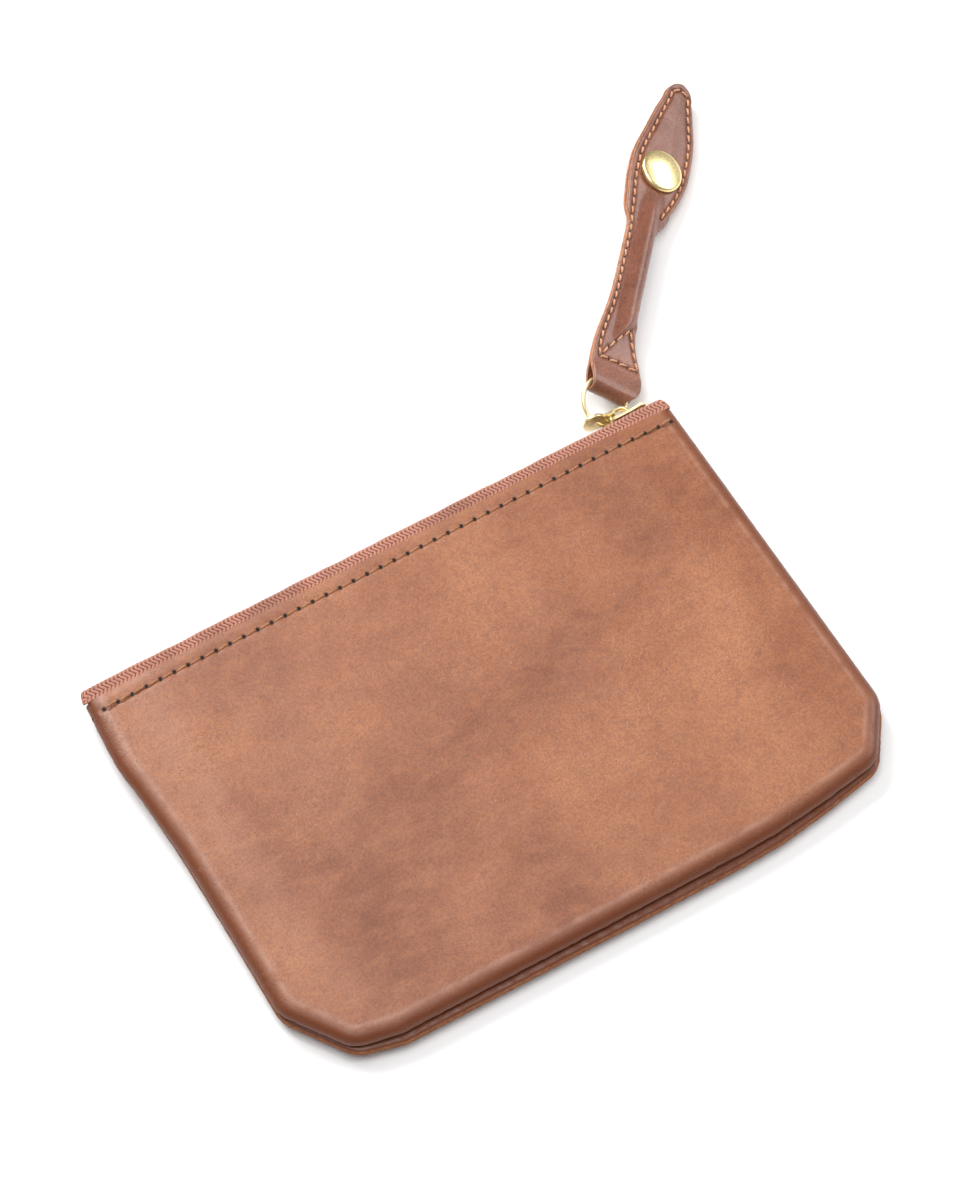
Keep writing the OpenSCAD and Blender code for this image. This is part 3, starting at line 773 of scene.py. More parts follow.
def seam_route(rim, inset, top=0.0):
    """The U-shaped line of the side and bottom seam, as points along it."""
    ends = np.array([[inset - HALF_W, MOUTH_Y - top], [HALF_W - inset, MOUTH_Y - top]])
    return np.concatenate([ends[:1], *rim_line(rim, inset), ends[1:]])


def walk(route, pitch):
    """Points a pitch apart along a route."""
    route = np.asarray(route, float)
    legs = np.linalg.norm(np.diff(route, axis=0), axis=1)
    run = np.concatenate([[0], np.cumsum(legs)])
    count = max(2, int(round(run[-1] / pitch)) + 1)
    at = np.linspace(0, run[-1], count)
    return np.column_stack([np.interp(at, run, route[:, k]) for k in range(route.shape[1])])


def stitch_ends(route, pitch, space):
    """Start and end of each stitch along a route, with a space left at both."""
    marks = walk(route, pitch)
    return [(a + (b - a) * space, b - (b - a) * space) for a, b in zip(marks[:-1], marks[1:])]


def make_seam_thread():
    height = MID_Z - 0.06
    rows = [((*a, height), (*b, height), (0, 0, 1))
            for a, b in stitch_ends(seam_route(FRONT_RIM, 1.5, 6.0), STITCH_PITCH, 0.14)]
    thread_piece("seam_stitches", rows, *SEAM_THREAD, ["seam_thread"], "pouch")


# --- lining

LINING_T = 0.3


def make_lining(name, rim, side, node, body=None):
    """Half of the lining bag: a soft cloth wall under the leather."""
    inset = 6.4
    columns, floor_y = np.concatenate(panel_floor(rim, inset)).T
    top = STITCH_Y - 0.2
    rows = np.linspace(0, 1, 40)
    x = np.repeat(columns[None, :], len(rows), 0)
    y = top + (floor_y[None, :] - top) * rows[:, None]
    gap = np.minimum.reduce([x + HALF_W - inset, HALF_W - inset - x, (y - floor_y[None, :]) + 0.01])
    low, high, slope = 0.35, 2.2, 3.0
    depth = low + (high - low) * np.sqrt(np.clip(gap / slope, 0, 1))
    points = np.stack([x, y, depth], -1).reshape(-1, 3)
    points[:, 2] += lumps(points, 22, 9) * 0.05
    faces = grid_faces(*x.shape)
    if grid_normals(points, faces)[:, 2].mean() < 0:
        faces = faces[:, ::-1]
    closed, faces, _ = shell(points, faces, np.full(len(points), LINING_T))
    return piece(name, *on_side(closed, faces, side), ["lining"], "lining", [node], body)


# --- zip

TAPE_LOW, TAPE_HIGH = node_box("back_tape")
# The tape turns down over the teeth in an arc.
ARC_Y, ARC_Z, ARC_R, ARC_TURN, TAPE_HALF = 49.0, 1.55, 1.2, math.radians(82), 0.28
CHAIN_Y = node_middle("back_teeth")[1]
TOOTH_PITCH, CHAIN_HALF = 2.4, 65.5


def tape_line(v):
    """Middle line of the tape: v millimetres from the leather edge gives y, z and the normal."""
    flat = ARC_Y - MOUTH_Y
    turn = np.clip((v - flat) / ARC_R, 0, ARC_TURN)
    y = np.where(v < flat, MOUTH_Y + v, ARC_Y + ARC_R * np.sin(turn))
    z = np.where(v < flat, ARC_Z + ARC_R, ARC_Z + ARC_R * np.cos(turn))
    return y, z, np.sin(turn), np.cos(turn)


def herringbone(x, v):
    """Height of the weave, 0 to 1: slanted ribs that turn back at each row."""
    row = 1.15
    zig = np.abs(((v + 0.15) / row) % 2 - 1)
    rib = np.sin(2 * math.pi * (x / 0.92 + zig * 0.95))
    yarn = np.cos(2 * math.pi * ((v + 0.15) / row * 2.5))
    fold = np.exp(-(((v + 0.15) / row + 0.5) % 1 - 0.5) ** 2 / 0.006)
    return np.clip(0.5 + 0.42 * rib + 0.10 * yarn - 0.35 * fold, 0, 1)


def make_tape(name, side, nodes, body=None):
    """One half of the zip's tape, with its rounded ends."""
    x0, x1 = TAPE_LOW[0] + (2.0 if side < 0 else -0.9), TAPE_HIGH[0] - 0.7
    last = (ARC_Y - MOUTH_Y) + ARC_R * ARC_TURN
    x = np.arange(x0, x1, 0.18)
    v = np.concatenate([[-7.0, -3.0, -1.2], np.arange(-0.6, last, 0.155), [last]])
    xx, vv = np.meshgrid(x, v, indexing="ij")
    rib = herringbone(xx, vv)
    inside = smoothstep(-vv, 0.3, 0.7)
    drawn_in = 1 - (1 - (HALF_W - 6.0) / x1) * smoothstep(-vv, -0.2, 0.8)
    end = np.minimum(xx - x0, x1 - xx)
    round_r = 2.6
    shrink = np.sqrt(np.clip(1 - (1 - np.clip(end / round_r, 0, 1)) ** 2, 0.02, 1))
    pulled = np.where(vv > 0, vv * shrink, vv)
    y, z, ny, nz = tape_line(pulled)
    ripple = 0.05 * np.sin(xx * 0.31 + 1.0) + 0.03 * np.sin(xx * 0.83)
    half = TAPE_HALF * (0.45 + 0.55 * shrink)
    lift = half + 0.20 * (rib - 0.5) * (1 - inside) * shrink + ripple * smoothstep(vv, 0.4, 1.6)
    outer = np.stack([xx * drawn_in, y + ny * lift, z + nz * lift], -1)
    inner = np.stack([xx * drawn_in, y - ny * half, z - nz * half], -1)
    n, m = xx.shape
    loop = np.concatenate([outer, inner[:, ::-1]], 1)
    faces = [f[::-1] for f in pipe_faces(n, 2 * m)]
    rest = np.stack([loop[..., 0], np.concatenate([vv, vv[:, ::-1]], 1), loop[..., 2]], -1)
    # The inner face gets a lower, darker copy of the ribs: painted shade on the tape's inner side.
    ribs = np.concatenate([rib, rib[:, ::-1] * 0.6], 1).ravel()
    return piece(name, *on_side(loop.reshape(-1, 3), faces, side), ["tape"], "zip_tape", nodes,
                 body, rest=rest.reshape(-1, 3), values={"rib": ribs}, smooth=60)


def from_bmesh(bm):
    bm.verts.index_update()
    points = np.array([v.co[:] for v in bm.verts])
    faces = [[v.index for v in f.verts] for f in bm.faces]
    bm.free()
    return points, faces


def rounded_box(size, bevel, segments=2):
    """Points and faces of a box with rounded edges, its middle at the origin."""
    bm = bmesh.new()
    bmesh.ops.create_cube(bm, size=1.0)
    bmesh.ops.scale(bm, vec=size, verts=bm.verts)
    bmesh.ops.bevel(bm, geom=bm.edges[:], offset=bevel, segments=segments, profile=0.5,
                    affect="EDGES")
    return from_bmesh(bm)


def tooth():
    """One tooth: a clamp on the tape's edge, a waist and a head."""
    parts = (((1.05, 1.75, 0.62), 0.16, 1.30), ((0.88, 1.45, 0.75), 0.14, 0.72),
             ((1.02, 1.70, 0.62), 0.24, 0.16))
    return joined(*[moved(rounded_box(size, bevel), (0, 0, z)) for size, bevel, z in parts])


def make_teeth(name, side, shift, nodes, body=None):
    xs = np.arange(shift - CHAIN_HALF, CHAIN_HALF - 1.05, TOOTH_PITCH) + 0.525
    shape = tooth()
    points, faces = joined(*[moved(shape, (x, 0, 0)) for x in xs])
    points[:, 1] += CHAIN_Y
    return piece(name, *on_side(points, faces, side), ["zip_brass"], "zip_brass", nodes, body,
                 values={"arch_x": np.repeat(xs, len(shape[0]))}, smooth=35)


def make_zip():
    make_tape("back_zip_tape", -1, ["back_tape"], "pouch")
    arch_blend(make_tape("front_zip_tape", 1, ["front_tape", "side_tapes"]))
    make_teeth("back_zip_teeth", -1, TOOTH_PITCH / 2, ["back_teeth"], "pouch")
    arch_blend(make_teeth("front_zip_teeth", 1, 0.0, ["front_teeth", "side_teeth"]))
    low, high = node_box("bottom_stop")
    bar = moved(rounded_box(tuple(high - low), 0.35, 3), node_middle("bottom_stop"))
    metal("bottom_zip_stop", bar, "zip_brass", "pouch", ["bottom_stop"], 40)
    low, high = node_box("top_stops")
    stop = rounded_box((high[0] - low[0], high[1] - low[1], 1.1), 0.3, 3)
    pair = [moved(stop, node_middle("top_stops") + [0, 0, d]) for d in (1.15, -1.15)]
    metal("top_zip_stops", joined(*pair), "zip_brass", "pouch", ["top_stops"], 40)


# --- strap

FLEX, LEAF_FLEX = joint_pos("neck_flex"), joint_pos("leaf_flex")
ALONG = unit(LEAF_FLEX - FLEX)
LEFT = -np.array(JOINTS["neck_flex"]["axis"])
FACE = np.cross(ALONG, LEFT)
TAB_L, FLEX_RISE = 20.0, 2.7
STRAP_AT = FLEX - TAB_L * ALONG - FLEX_RISE * FACE
# The strap is measured from the end of its fold: where its two long pieces meet, and its tip.
SPLIT_S, TIP_S = 33.0, 86.2
# Outer and inner radius of the fold.
FOLD_R, LOOP_R = 2.2, 1.2
# Radius of the rolled neck, and how far left its crest is.
NECK_R, CREST_N = 2.36, -0.15
# Distance between the rows of the strap's mesh, its columns and the backing's, and radius of
# the cut edge.
STEP_S, STRAP_COLS, BACKING_COLS, EDGE_R = 0.36, 46, 30, 0.38
# Where along the strap it bends at neck_flex and at leaf_flex.
NECK_BEND, LEAF_BEND = (15, 25), (42, 50)


def strap_points(s, n, z):
    """Row-frame points from distances along the strap, to its left, and out of its face."""
    s, n, z = (np.asarray(v, float)[..., None] for v in (s, n, z))
    return STRAP_AT + s * ALONG + n * LEFT + z * FACE


left_side = curve_through([(0, 4.9), (3, 5.5), (5.4, 6.1), (9, 6.4), (12, 6.35), (16, 6.0),
                           (20, 5.4), (24, 4.9), (28.7, 4.6), (39, 4.4), (44.6, 4.4),
                           (46.2, 4.9), (48.5, 5.8), (54.2, 6.6), (58, 6.95), (62.5, 6.9),
                           (66.5, 6.3), (70.5, 5.3), (78.1, 3.5), (82, 2.3)])
right_side = curve_through([(0, -3.3), (1, -4.5), (2.5, -5.6), (4.5, -6.25), (6.2, -6.3),
                            (9.1, -5.4), (12, -4.1), (14.8, -3.1), (18, -2.6), (22, -2.5),
                            (43, -2.55), (46, -3.0), (49.2, -4.0), (52.5, -5.3), (55.7, -6.4),
                            (59, -7.15), (62, -7.5), (66, -7.5), (70.2, -7.2), (77.7, -5.6),
                            (82, -4.4)])
TIP_FROM, TIP_N = 82.0, -1.0


def edges_at(s):
    """Left and right edge of the strap, with its rounded tip."""
    s = np.asarray(s, float)
    part = np.clip((s - TIP_FROM) / (TIP_S - TIP_FROM), 0, 1)
    close = np.sqrt(np.clip(1 - part ** 2, 0.0004, 1))
    return (TIP_N + (left_side(s) - TIP_N) * close, TIP_N + (right_side(s) - TIP_N) * close)


def neck_slope(reach):
    """Height of the leather beside the roll. reach is 0 at the crest and 1 on the flange."""
    return 1.18 * (0.5 + 0.5 * np.cos(math.pi * np.clip(reach, 0, 1)))


def neck_face(n):
    """Height of the rolled neck over its middle plane: round on the right, a flange on the left."""
    right = np.sqrt(np.clip(NECK_R ** 2 - (n - CREST_N) ** 2, 0.0, None))
    return np.where(n < CREST_N, right, PLY_T - 0.02 + neck_slope((n - CREST_N) / 3.6))


TAB_STITCHES = [[(33.0, 4.0), (26, 4.05), (22, 4.25), (17.3, 4.95), (14.4, 5.3), (11.4, 5.4),
                 (8.6, 4.9)],
                [(8.6, 4.9), (8.9, 0.4), (8.9, -4.7)],
                [(8.9, -4.7), (12.7, -2.95), (15.2, -1.95), (17.9, -1.0)],
                [(17.9, -1.0), (14.2, 1.6), (11.3, 3.4), (9.6, 4.4)]]
THREAD_PITCH, EDGE_INSET, SEAM_WIDTH, HOLE_AREA = 2.3, 1.4, 0.42, 0.13
SEAM_DEPTH, HOLE_DEPTH = 0.26, 0.22


def leaf_stitches():
    run = np.append(np.arange(50.5, 83.0, 0.5), 83.4)
    left, right = edges_at(run)
    reach = smoothstep(-run, -84.5, -78)
    inset = EDGE_INSET * (0.75 + 0.25 * reach)
    left_row = [(33.0, 4.0), (44.5, 4.0), (46.5, 4.5)] + [
        (a, b - i) for a, b, i in zip(run, left, inset)]
    right_row = [(49.2, -2.6)] + [(a, b + i) for a, b, i in zip(run[1:], right[1:], inset[1:])]
    top = [left_row[-1], (84.6, TIP_N + 0.1), right_row[-1]]
    return [left_row, right_row, top]


def route_gap(s, n, route):
    """Distance of each (s, n) from a route."""
    best = np.full(np.shape(s), 99.0)
    for (s0, n0), (s1, n1) in zip(route[:-1], route[1:]):
        ds, dn = s1 - s0, n1 - n0
        t = np.clip(((s - s0) * ds + (n - n0) * dn) / max(ds * ds + dn * dn, 1e-9), 0, 1)
        best = np.minimum(best, np.hypot(s - s0 - t * ds, n - n0 - t * dn))
    return best


def seam_marks(s, n, routes):
    """How deep the seams press in, and how much of each point is a needle hole."""
    groove, hole = np.zeros(np.shape(s)), np.zeros(np.shape(s))
    for route in routes:
        gap = route_gap(s, n, route)
        groove = np.maximum(groove, np.exp(-(gap / SEAM_WIDTH) ** 2))
        for s0, n0 in walk(route, THREAD_PITCH):
            off = (s - s0) ** 2 + (n - n0) ** 2
            hole = np.maximum(hole, np.exp(-off / HOLE_AREA))
    return groove, hole


def strap_height(s, n):
    """Height of the strap's face over its middle plane, without seams or edge rounding."""
    fold = PLY_T + (FOLD_R - PLY_T) * (1 - smoothstep(s, FOLD_R, 8.6))
    # The roll rises from a slanted line across the tab.
    slanted = 8.5 + 1.586 * (4.8 - n)
    rolled = smoothstep(s - slanted, -1.2, 3.2)
    flat_leaf = smoothstep(s, 48.5, 58.0)
    neck = neck_face(n)
    neck = np.where((s > 43) & (n < CREST_N), blade_fillet(s, n, neck), neck)
    body = fold + (neck - fold) * rolled
    return body + (PLY_T - body) * flat_leaf


def blade_fillet(s, n, neck):
    """Right side of the neck where the leaf's blade grows out of it."""
    slope = PLY_T + neck_slope((CREST_N - n) / 2.9)
    return neck + (slope - neck) * smoothstep(s, 43.5, 46.5)


def strip_grid(s_all, left, right, count):
    """Grid over the strap: s, n, and how much is rounded off. It is finer beside the edges."""
    q = np.linspace(0, 1, count)
    share = 0.5 - 0.5 * np.cos(math.pi * q) * (0.55 + 0.45 * np.abs(2 * q - 1))
    left, right = left[:, None], right[:, None]
    n = right + (left - right) * share[None, :]
    s = np.repeat(s_all[:, None], count, 1)
    return s, n, edge_round(n, left, right)


def edge_round(n, left, right):
    """How much the leather's corner is rounded off beside its edges."""
    gap = np.minimum(left - n, n - right)
    inside = np.clip(EDGE_R - gap, 0, EDGE_R)
    return EDGE_R - np.sqrt(np.clip(EDGE_R * EDGE_R - inside ** 2, 0, None))


def make_strap_lower():
    """The tab folded round the ring, and the first half of the rolled neck, as one leather."""
    straight = np.concatenate([np.arange(SPLIT_S, FOLD_R + 0.1, -STEP_S), [FOLD_R]])
    turns = np.linspace(0, math.pi, 15)[1:-1]
    s_all = np.concatenate([straight, FOLD_R - FOLD_R * np.sin(turns), straight[::-1]])
    angle = np.concatenate([np.zeros(len(straight)), turns, np.full(len(straight), math.pi)])
    s, n, rounding = strip_grid(s_all, *edges_at(s_all), STRAP_COLS)
    groove, hole = seam_marks(s, n, TAB_STITCHES)
    height = strap_height(np.maximum(s, FOLD_R), n) - (SEAM_DEPTH * groove + HOLE_DEPTH * hole)
    rolled_side = smoothstep(s, 17.0, 20.0) * (n < 0)
    height = np.maximum(height - rounding * (1 - rolled_side), 0.03)
    creased = lumps(np.stack([s, n, 0 * s], -1), 5, 21) * 0.03
    height = height + creased * smoothstep(height, 0.4, 0.9)
    loop = LOOP_R * (1 - smoothstep(s, 2.8, 7.4))
    in_arc = ((angle > 1e-6) & (angle < math.pi - 1e-6))[:, None]
    side, swing = np.cos(angle)[:, None], np.sin(angle)[:, None]
    out_s = np.where(in_arc, FOLD_R - height * swing, s)
    out_z = height * side
    in_s = np.where(in_arc, FOLD_R - LOOP_R * swing, s)
    in_z = np.where(in_arc, LOOP_R * side, np.sign(side) * np.minimum(loop, height - 0.02))
    rest = np.stack([np.cumsum(np.full(s.shape, STEP_S), 0), n, out_z], -1)
    return close_strip("strap_tab_and_neck", strap_points(out_s, n, out_z),
                       strap_points(in_s, n, in_z), rest, hole,
                       ["strap_tab", "strap_neck", "neck_cord"])


def close_strip(name, outer, inner, rest, hole, nodes, body=None):
    """Closes an outer and an inner grid into one solid, with cut edges on both sides."""
    rows, cols = outer.shape[:2]
    count = rows * cols

    def wall(first, step, number, order):
        a = first + step * np.arange(number - 1)
        return np.stack([a, a + step, a + step + count, a + count], -1)[:, order]

    out, back = [0, 1, 2, 3], [0, 3, 2, 1]
    faces = np.concatenate([
        grid_faces(rows, cols)[:, ::-1], grid_faces(rows, cols, start=count),
        wall(0, cols, rows, out), wall(cols - 1, cols, rows, back),
        wall(0, 1, cols, back), wall((rows - 1) * cols, 1, cols, out)])
    kinds = np.zeros(len(faces), int)
    first, long = 2 * (rows - 1) * (cols - 1), rows - 1
    thin = np.linalg.norm(outer[:, 0] - inner[:, 0], axis=1) < 0.4
    kinds[first:first + long] = np.where(thin[:-1], 0, 1)
    kinds[first + long:first + 2 * long] = 1
    # The strap's sides take up to half the rolls' darkening (partly wear, partly painted shade) and the
    # painted crest highlight beside it.
    edge = np.tile(smoothstep(np.abs(np.linspace(-1, 1, cols)), 0.86, 1.0) * 0.5, rows)
    points = np.concatenate([outer.reshape(-1, 3), inner.reshape(-1, 3)])
    values = {"hole": np.append(hole.ravel(), np.zeros(count)), "edge": np.append(edge, edge * 0)}
    return piece(name, points, faces, ["strap", "strap_cut"], "strap_leather", nodes, body, kinds,
                 np.concatenate([rest.reshape(-1, 3)] * 2), values, smooth=48)


def leaf_stations(start):
    tip = TIP_S - (TIP_S - TIP_FROM) * (1 - np.linspace(0, 1, 16)) ** 2
    return np.concatenate([np.arange(start, TIP_FROM - 0.1, STEP_S), tip])


def make_strap_upper():
    """Second half of the neck, which spreads into the leaf's front layer."""
    s_all = leaf_stations(SPLIT_S)
    left, right = edges_at(s_all)
    s, n, rounding = strip_grid(s_all, left, right, STRAP_COLS)
    height = strap_height(s, n)
    groove, hole = seam_marks(s, n, leaf_stitches())
    rounding = rounding * (1 - (1 - smoothstep(s, 43.0, 46.0)) * (n < 0))
    puff = 0.22 * smoothstep(s, 60, 66) * np.clip(
        np.minimum(left[:, None] - n, n - right[:, None]) / 4.0 - 0.5, 0, 1)
    top = np.maximum(height + puff - SEAM_DEPTH * groove - HOLE_DEPTH * hole - rounding, 0.03)
    top += lumps(np.stack([s, n, 0 * s], -1), 6, 33) * (0.03 * smoothstep(top, 0.4, 0.9))
    flat = smoothstep(s, 43.5, 49.0)
    back = -np.maximum(height - rounding, 0.03) * (1 - flat) + 0.01
    return close_strip("strap_neck_and_leaf", strap_points(s, n, top), strap_points(s, n, back),
                       np.stack([s, n, top], -1), hole, ["strap_leaf"])


def make_leaf_backing():
    start, whole = 44.8, 52.0
    head = start + (whole - start) * np.linspace(0, 1, 14) ** 2
    s_all = np.concatenate([head, leaf_stations(whole + 0.4)])
    left, right = edges_at(np.maximum(s_all, whole))
    part = np.clip((s_all - start) / (whole - start), 0, 1)
    open_up = np.sqrt(np.clip(1 - (1 - part) ** 2, 0.0004, 1))
    left, right = (0.4 + (e - 0.4) * open_up + d for e, d in ((left, 0.12), (right, -0.12)))
    s, n, rounding = strip_grid(s_all, left, right, BACKING_COLS)
    back = -PLY_T + rounding
    close_strip("leaf_back_layer", strap_points(s, n, np.full(s.shape, -0.03)),
                strap_points(s, n, back), np.stack([s, n, back], -1), 0 * s, ["leaf_backing"],
                "leaf")


def strap_thread(name, routes, nodes):
    rows = []
    for a, b in (ends for route in routes for ends in stitch_ends(route, THREAD_PITCH, 0.13)):
        slant = np.array([a[1] - b[1], b[0] - a[0]]) * 0.06 / 0.74
        s, n = np.array([a - slant, b + slant]).T
        rows.append((*strap_points(s, n, strap_height(s, n) - 0.10), FACE))
    return thread_piece(name, rows, *STRAP_THREAD, nodes, turns=2)


def make_strap():
    lower, upper = (dict(start=strap_points(a, 0, 0) * MM, end=strap_points(b, 0, 0) * MM)
                    for a, b in (NECK_BEND, LEAF_BEND))
    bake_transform(make_strap_lower(), "strap_base", "neck", **lower)
    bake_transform(make_strap_upper(), "neck", "leaf", **upper)
    make_leaf_backing()
    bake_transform(strap_thread("tab_stitches", TAB_STITCHES, ["tab_thread", "neck_thread"]),
             "strap_base", "neck", **lower)
    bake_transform(strap_thread("leaf_stitches", leaf_stitches(), ["leaf_thread"]), "neck", "leaf",
             **upper)


# --- metal parts


def lathe(profile, around=64):
    """Points and faces of a profile of (radius, height) turned about Z, closed at its ends."""
    angle = np.linspace(0, 2 * math.pi, around, endpoint=False)
    ring = np.stack([np.cos(angle), np.sin(angle)], -1)
    points = np.concatenate([np.column_stack([ring * r, np.full(around, z)]) for r, z in profile])
    return points, pipe_faces(len(profile), around)


def smooth_profile(knots):
    """Rounds a (radius, height) profile by cutting its corners twice."""
    line = np.asarray(knots, float)
    for _ in range(2):
        a, b = line[:-1], line[1:]
        cut = np.stack([a * 0.75 + b * 0.25, a * 0.25 + b * 0.75], 1).reshape(-1, 2)
        line = np.concatenate([line[:1], cut, line[-1:]])
    return line


def tube(path, radius, around):
    """A round wire along a path."""
    path = np.asarray(path, float)
    ways = unit(np.gradient(path, axis=0))
    side = unit(np.cross(ways[0], [0.3, 0.2, 0.93]))
    angle = np.linspace(0, 2 * math.pi, around, endpoint=False)[:, None]
    rings = []
    for at, way in zip(path, ways):
        side = unit(side - way * (side @ way))
        rings.append(at + radius * (np.cos(angle) * side + np.sin(angle) * np.cross(way, side)))
    return np.concatenate(rings), pipe_faces(len(path), around)


def bent_bar(path, thick, wide, corner):
    """A flat bar bent along a path in the XY plane, with rounded corners, wide along Z."""
    ways = unit(np.gradient(path, axis=0))
    out = np.column_stack([ways[:, 1], -ways[:, 0]])
    section = []
    for cx, cz, a0 in ((1, 1, 0), (-1, 1, 90), (-1, -1, 180), (1, -1, 270)):
        for a in np.radians([a0, a0 + 30, a0 + 60, a0 + 90]):
            section.append((cx * (thick / 2 - corner) + corner * math.cos(a),
                            cz * (wide / 2 - corner) + corner * math.sin(a)))
    depth, height = np.array(section).T
    points = np.concatenate([np.column_stack([p[0] + o[0] * depth, p[1] + o[1] * depth, height])
                             for p, o in zip(path, out)])
    return points, pipe_faces(len(path), len(section))


def rounded_path(corners, radius, steps):
    """A path through corners, with each inner corner rounded."""
    corners = [np.asarray(c, float) for c in corners]
    path = [corners[0]]
    for a, b, c in zip(corners[:-2], corners[1:-1], corners[2:]):
        p, q = b + unit(a - b) * radius, b + unit(c - b) * radius
        path += [(1 - t) ** 2 * p + 2 * t * (1 - t) * b + t * t * q
                 for t in np.linspace(0, 1, steps)]
    return np.array(path + [corners[-1]])


def plate(outline, thick, bevel):
    """A flat plate in the XZ plane from a closed outline, with rounded edges."""
    bm = bmesh.new()
    face = bm.faces.new([bm.verts.new((x, -thick / 2, z)) for x, z in outline])
    grown = bmesh.ops.extrude_face_region(bm, geom=[face])
    top = [v for v in grown["geom"] if isinstance(v, bmesh.types.BMVert)]
    bmesh.ops.translate(bm, vec=(0, thick, 0), verts=top)
    bmesh.ops.recalc_face_normals(bm, faces=bm.faces[:])
    rims = [e for e in bm.edges if abs(e.verts[0].co.y - e.verts[1].co.y) < 1e-6]
    bmesh.ops.bevel(bm, geom=rims, offset=bevel, segments=3, profile=0.5, affect="EDGES")
    return from_bmesh(bm)


def metal(name, shape, kind, body, nodes, smooth=35):
    return piece(name, *shape, [kind], kind, nodes, body, smooth=smooth)


def make_slider():
    low, high = node_box("slider_body")
    half, plate_t = (high[0] - low[0]) / 2, 0.8
    x = low[0] + half

    def shield(tail, head):
        side = [(-half, -tail + 0.7), (-half + 0.7, -tail), (0.5, -tail), (half - 1.5, -head),
                (half - 0.5, -head + 0.7), (half, -0.5)]
        return plate(side + [(a, -b) for a, b in side[::-1]], plate_t, 0.22)

    divider = rounded_box((1.6, high[1] - low[1] - plate_t, 0.5), 0.12)
    shapes = [moved(shield(2.2, 2.6), (x, high[1] - plate_t / 2, MID_Z)),
              moved(shield(1.9, 2.2), (x, low[1] + plate_t / 2, MID_Z)),
              moved(divider, (x + 3.2, (low[1] + high[1]) / 2, MID_Z))]
    metal("zip_slider", joined(*shapes), "zip_brass", "slider", ["slider_body"])
    low, high = node_box("slider_crown")
    bar = 0.66
    top = high[1] - bar / 2 - 0.1
    path = rounded_path([(low[0] + 0.35, low[1]), (low[0] + 0.5, top), (high[0] - 1.9, top),
                         (high[0] - 0.9, low[1])], 0.9, 8)
    crown = bent_bar(path, bar, high[2] - low[2], 0.2)
    metal("slider_bridge", moved(crown, (0, 0, MID_Z)), "zip_brass", "slider", ["slider_crown"])


def pull_shape(hole_at):
    """The pull: a paddle with the ring's hole, and two arms with the pivot bar between them."""
    count = 56
    angle = np.linspace(0, 2 * math.pi, count, endpoint=False)
    pull_r, hole_r, middle, half_t, soft = 2.8, 1.15, np.array([-4.6, 0]), 0.36, 0.16
    ring = np.stack([np.cos(angle), np.sin(angle)], -1)
    egg = ring * pull_r
    egg[:, 0] = np.where(egg[:, 0] > 0, egg[:, 0] * 1.05, egg[:, 0])
    egg[:, 1] *= 1 - 0.30 * smoothstep(egg[:, 0], 0.5, 3.0)
    turns = [(1 - math.cos(t), half_t - soft + soft * math.sin(t))
             for t in np.radians([0, 30, 60, 90])]
    profile = [(c, -h) for c, h in turns[::-1]] + turns
    loops = [(egg + middle - unit(egg) * soft * c, h) for c, h in profile]
    loops += [(ring * hole_r + hole_at + ring * soft * c, h) for c, h in profile[::-1]]
    points = np.concatenate([np.column_stack([p[:, 0], np.full(count, h), p[:, 1]])
                             for p, h in loops])
    faces = grid_faces(len(loops), count, wrap_rows=True, wrap_cols=True).tolist()
    arm = rounded_path([(-2.3, 0, 1.2), (0, 0, 1.12), (0, 0, -1.12), (-2.3, 0, -1.2)], 0.45, 7)
    return joined((points, faces), tube(arm, 0.40, 16))


def ring_path(steps, gap):
    """The wire ring's middle line, and its wire radius."""
    middle, axis = joint_pos("ring_turn"), np.array(JOINTS["ring_turn"]["axis"])
    low, high = node_box("wire_ring")
    wire, start = 0.5, 2.2
    radius = ((high[0] - low[0]) / 2 - wire) / math.sqrt(1 - axis[0] ** 2)
    first = unit(np.cross(axis, [0, 0, 1.0]))
    second = np.cross(axis, first)
    angle = np.linspace(gap, 2 * math.pi - gap, steps)[:, None] + start
    return middle + radius * (np.cos(angle) * first + np.sin(angle) * second), wire


def make_pull_and_ring():
    pivot = joint_pos("pull_swing")
    turn = math.radians(-7)
    spin = np.array([[math.cos(turn), math.sin(turn), 0], [-math.sin(turn), math.cos(turn), 0],
                     [0, 0, 1]])
    path, wire = ring_path(120, 0.012)
    local = (path - pivot) @ spin.T
    through = local[(np.abs(local[:, 1]) < 0.4) & (local[:, 0] > -7.2)]
    points, faces = pull_shape(through.mean(0)[[0, 2]])
    metal("zip_pull", (points @ spin + pivot, faces), "zip_brass", "pull", ["pull_tab"],
          smooth=45)
    metal("pull_ring", tube(path, wire - 0.01, 24), "zip_brass", "ring", ["wire_ring"], 50)


def on_strap(shape, s, n, z):
    """Turns a shape made about Z so that it stands on the strap's face."""
    points = shape[0]
    return (strap_points(s + points[:, 0], n + points[:, 1], z + points[:, 2]), shape[1])


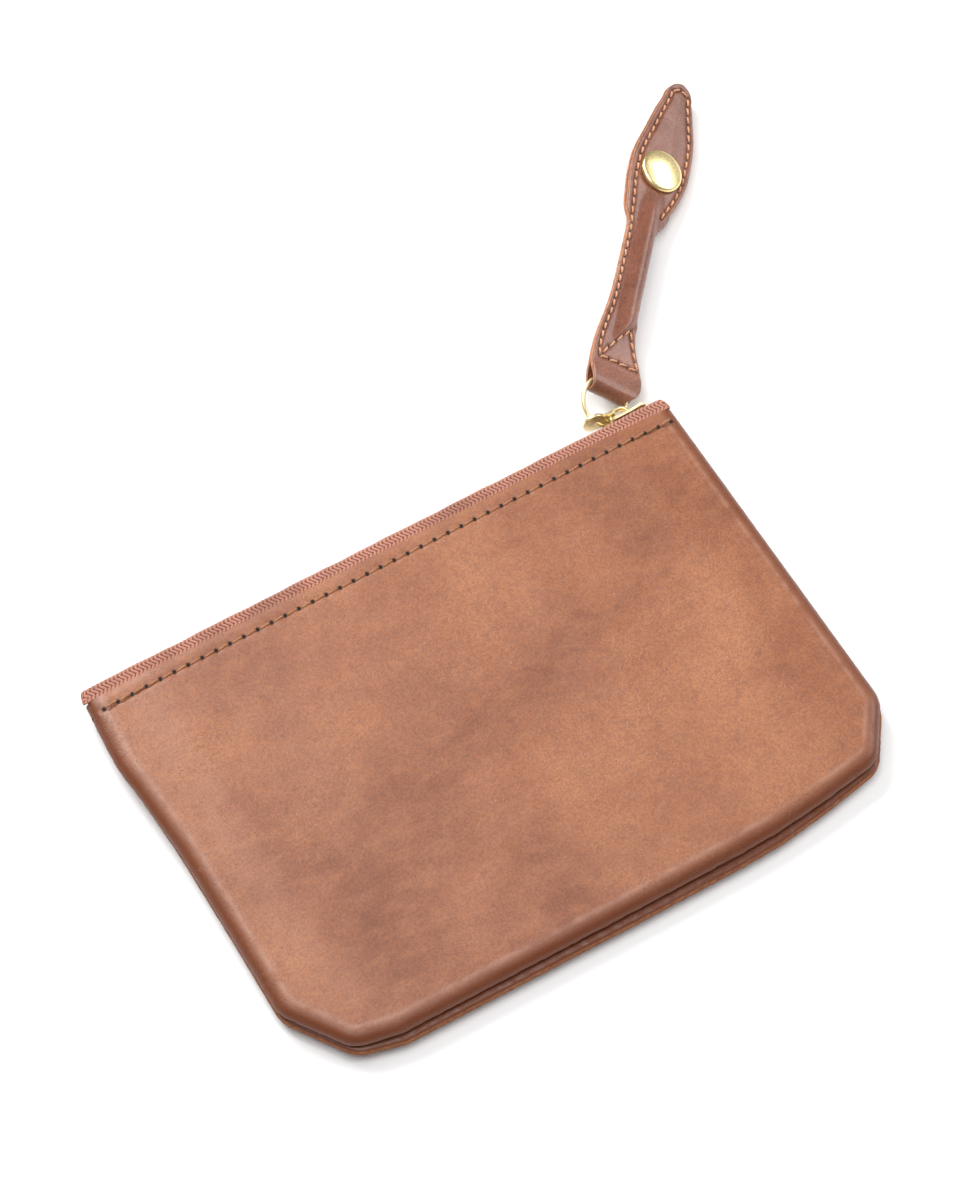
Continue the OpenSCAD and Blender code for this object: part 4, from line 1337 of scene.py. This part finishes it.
def strap_place(node):
    """Distances of a node's middle along the strap and to its left."""
    offset = node_middle(node) - STRAP_AT
    return float(offset @ ALONG), float(offset @ LEFT)


def make_snaps():
    # Profiles of (radius, height), up from the strap's face or down from its back.
    dome = [(4.7, 0.0), (5.02, 0.14), (5.16, 0.5), (5.14, 0.85), (4.94, 1.16), (4.6, 1.32)]
    crown = [(r, 1.34 + 0.55 * (1 - (r / 4.5) ** 2)) for r in np.linspace(4.3, 0.05, 14)]
    cap = joined(lathe([(4.6, 0.02)] + dome + crown, 72), lathe([(1.5, -2.4), (1.5, 0.03)], 24))
    cup = [(1.7, 0.0), (4.1, 0.0), (4.3, -0.2), (4.3, -1.2), (3.9, -1.7), (3.3, -2.0),
           (2.4, -2.08), (2.1, -1.9), (2.05, -0.6), (1.7, -0.5)]
    points, _ = lathe(smooth_profile(cup), 56)
    faces = grid_faces(len(points) // 56, 56, wrap_rows=True, wrap_cols=True)[:, ::-1].tolist()
    stud = [(3.3, 0.0), (3.4, -0.15), (3.3, -0.5), (2.6, -0.6), (1.7, -0.62), (1.45, -0.8),
            (1.45, -1.3), (1.85, -1.65), (1.85, -2.0), (1.4, -2.28), (0.3, -2.3)]
    stud, stud_faces = lathe(smooth_profile(stud), 48)
    post = joined((stud, [f[::-1] for f in stud_faces]), lathe([(1.2, -0.02), (1.2, 0.9)], 24))
    at_cap, at_post, under = strap_place("snap_cap"), strap_place("snap_post"), -PLY_T - 0.02
    metal("snap_cap_dome", on_strap(cap, *at_cap, PLY_T), "snap_brass", "leaf", ["snap_cap"], 50)
    metal("snap_socket_cup", on_strap((points, faces), *at_cap, under), "snap_brass", "leaf",
          ["snap_socket"], 50)
    metal("snap_stud_post", on_strap(post, *at_post, under), "snap_brass", "strap_base",
          ["snap_stud", "snap_post"], 50)


make_camera()
make_stage()
make_panels()
make_seam_thread()
make_lining("back_lining_cloth", BACK_RIM, -1, "back_lining", "pouch")
arch_blend(make_lining("front_lining_cloth", FRONT_RIM, 1, "front_lining"))
make_zip()
make_slider()
make_pull_and_ring()
make_strap()
make_snaps()
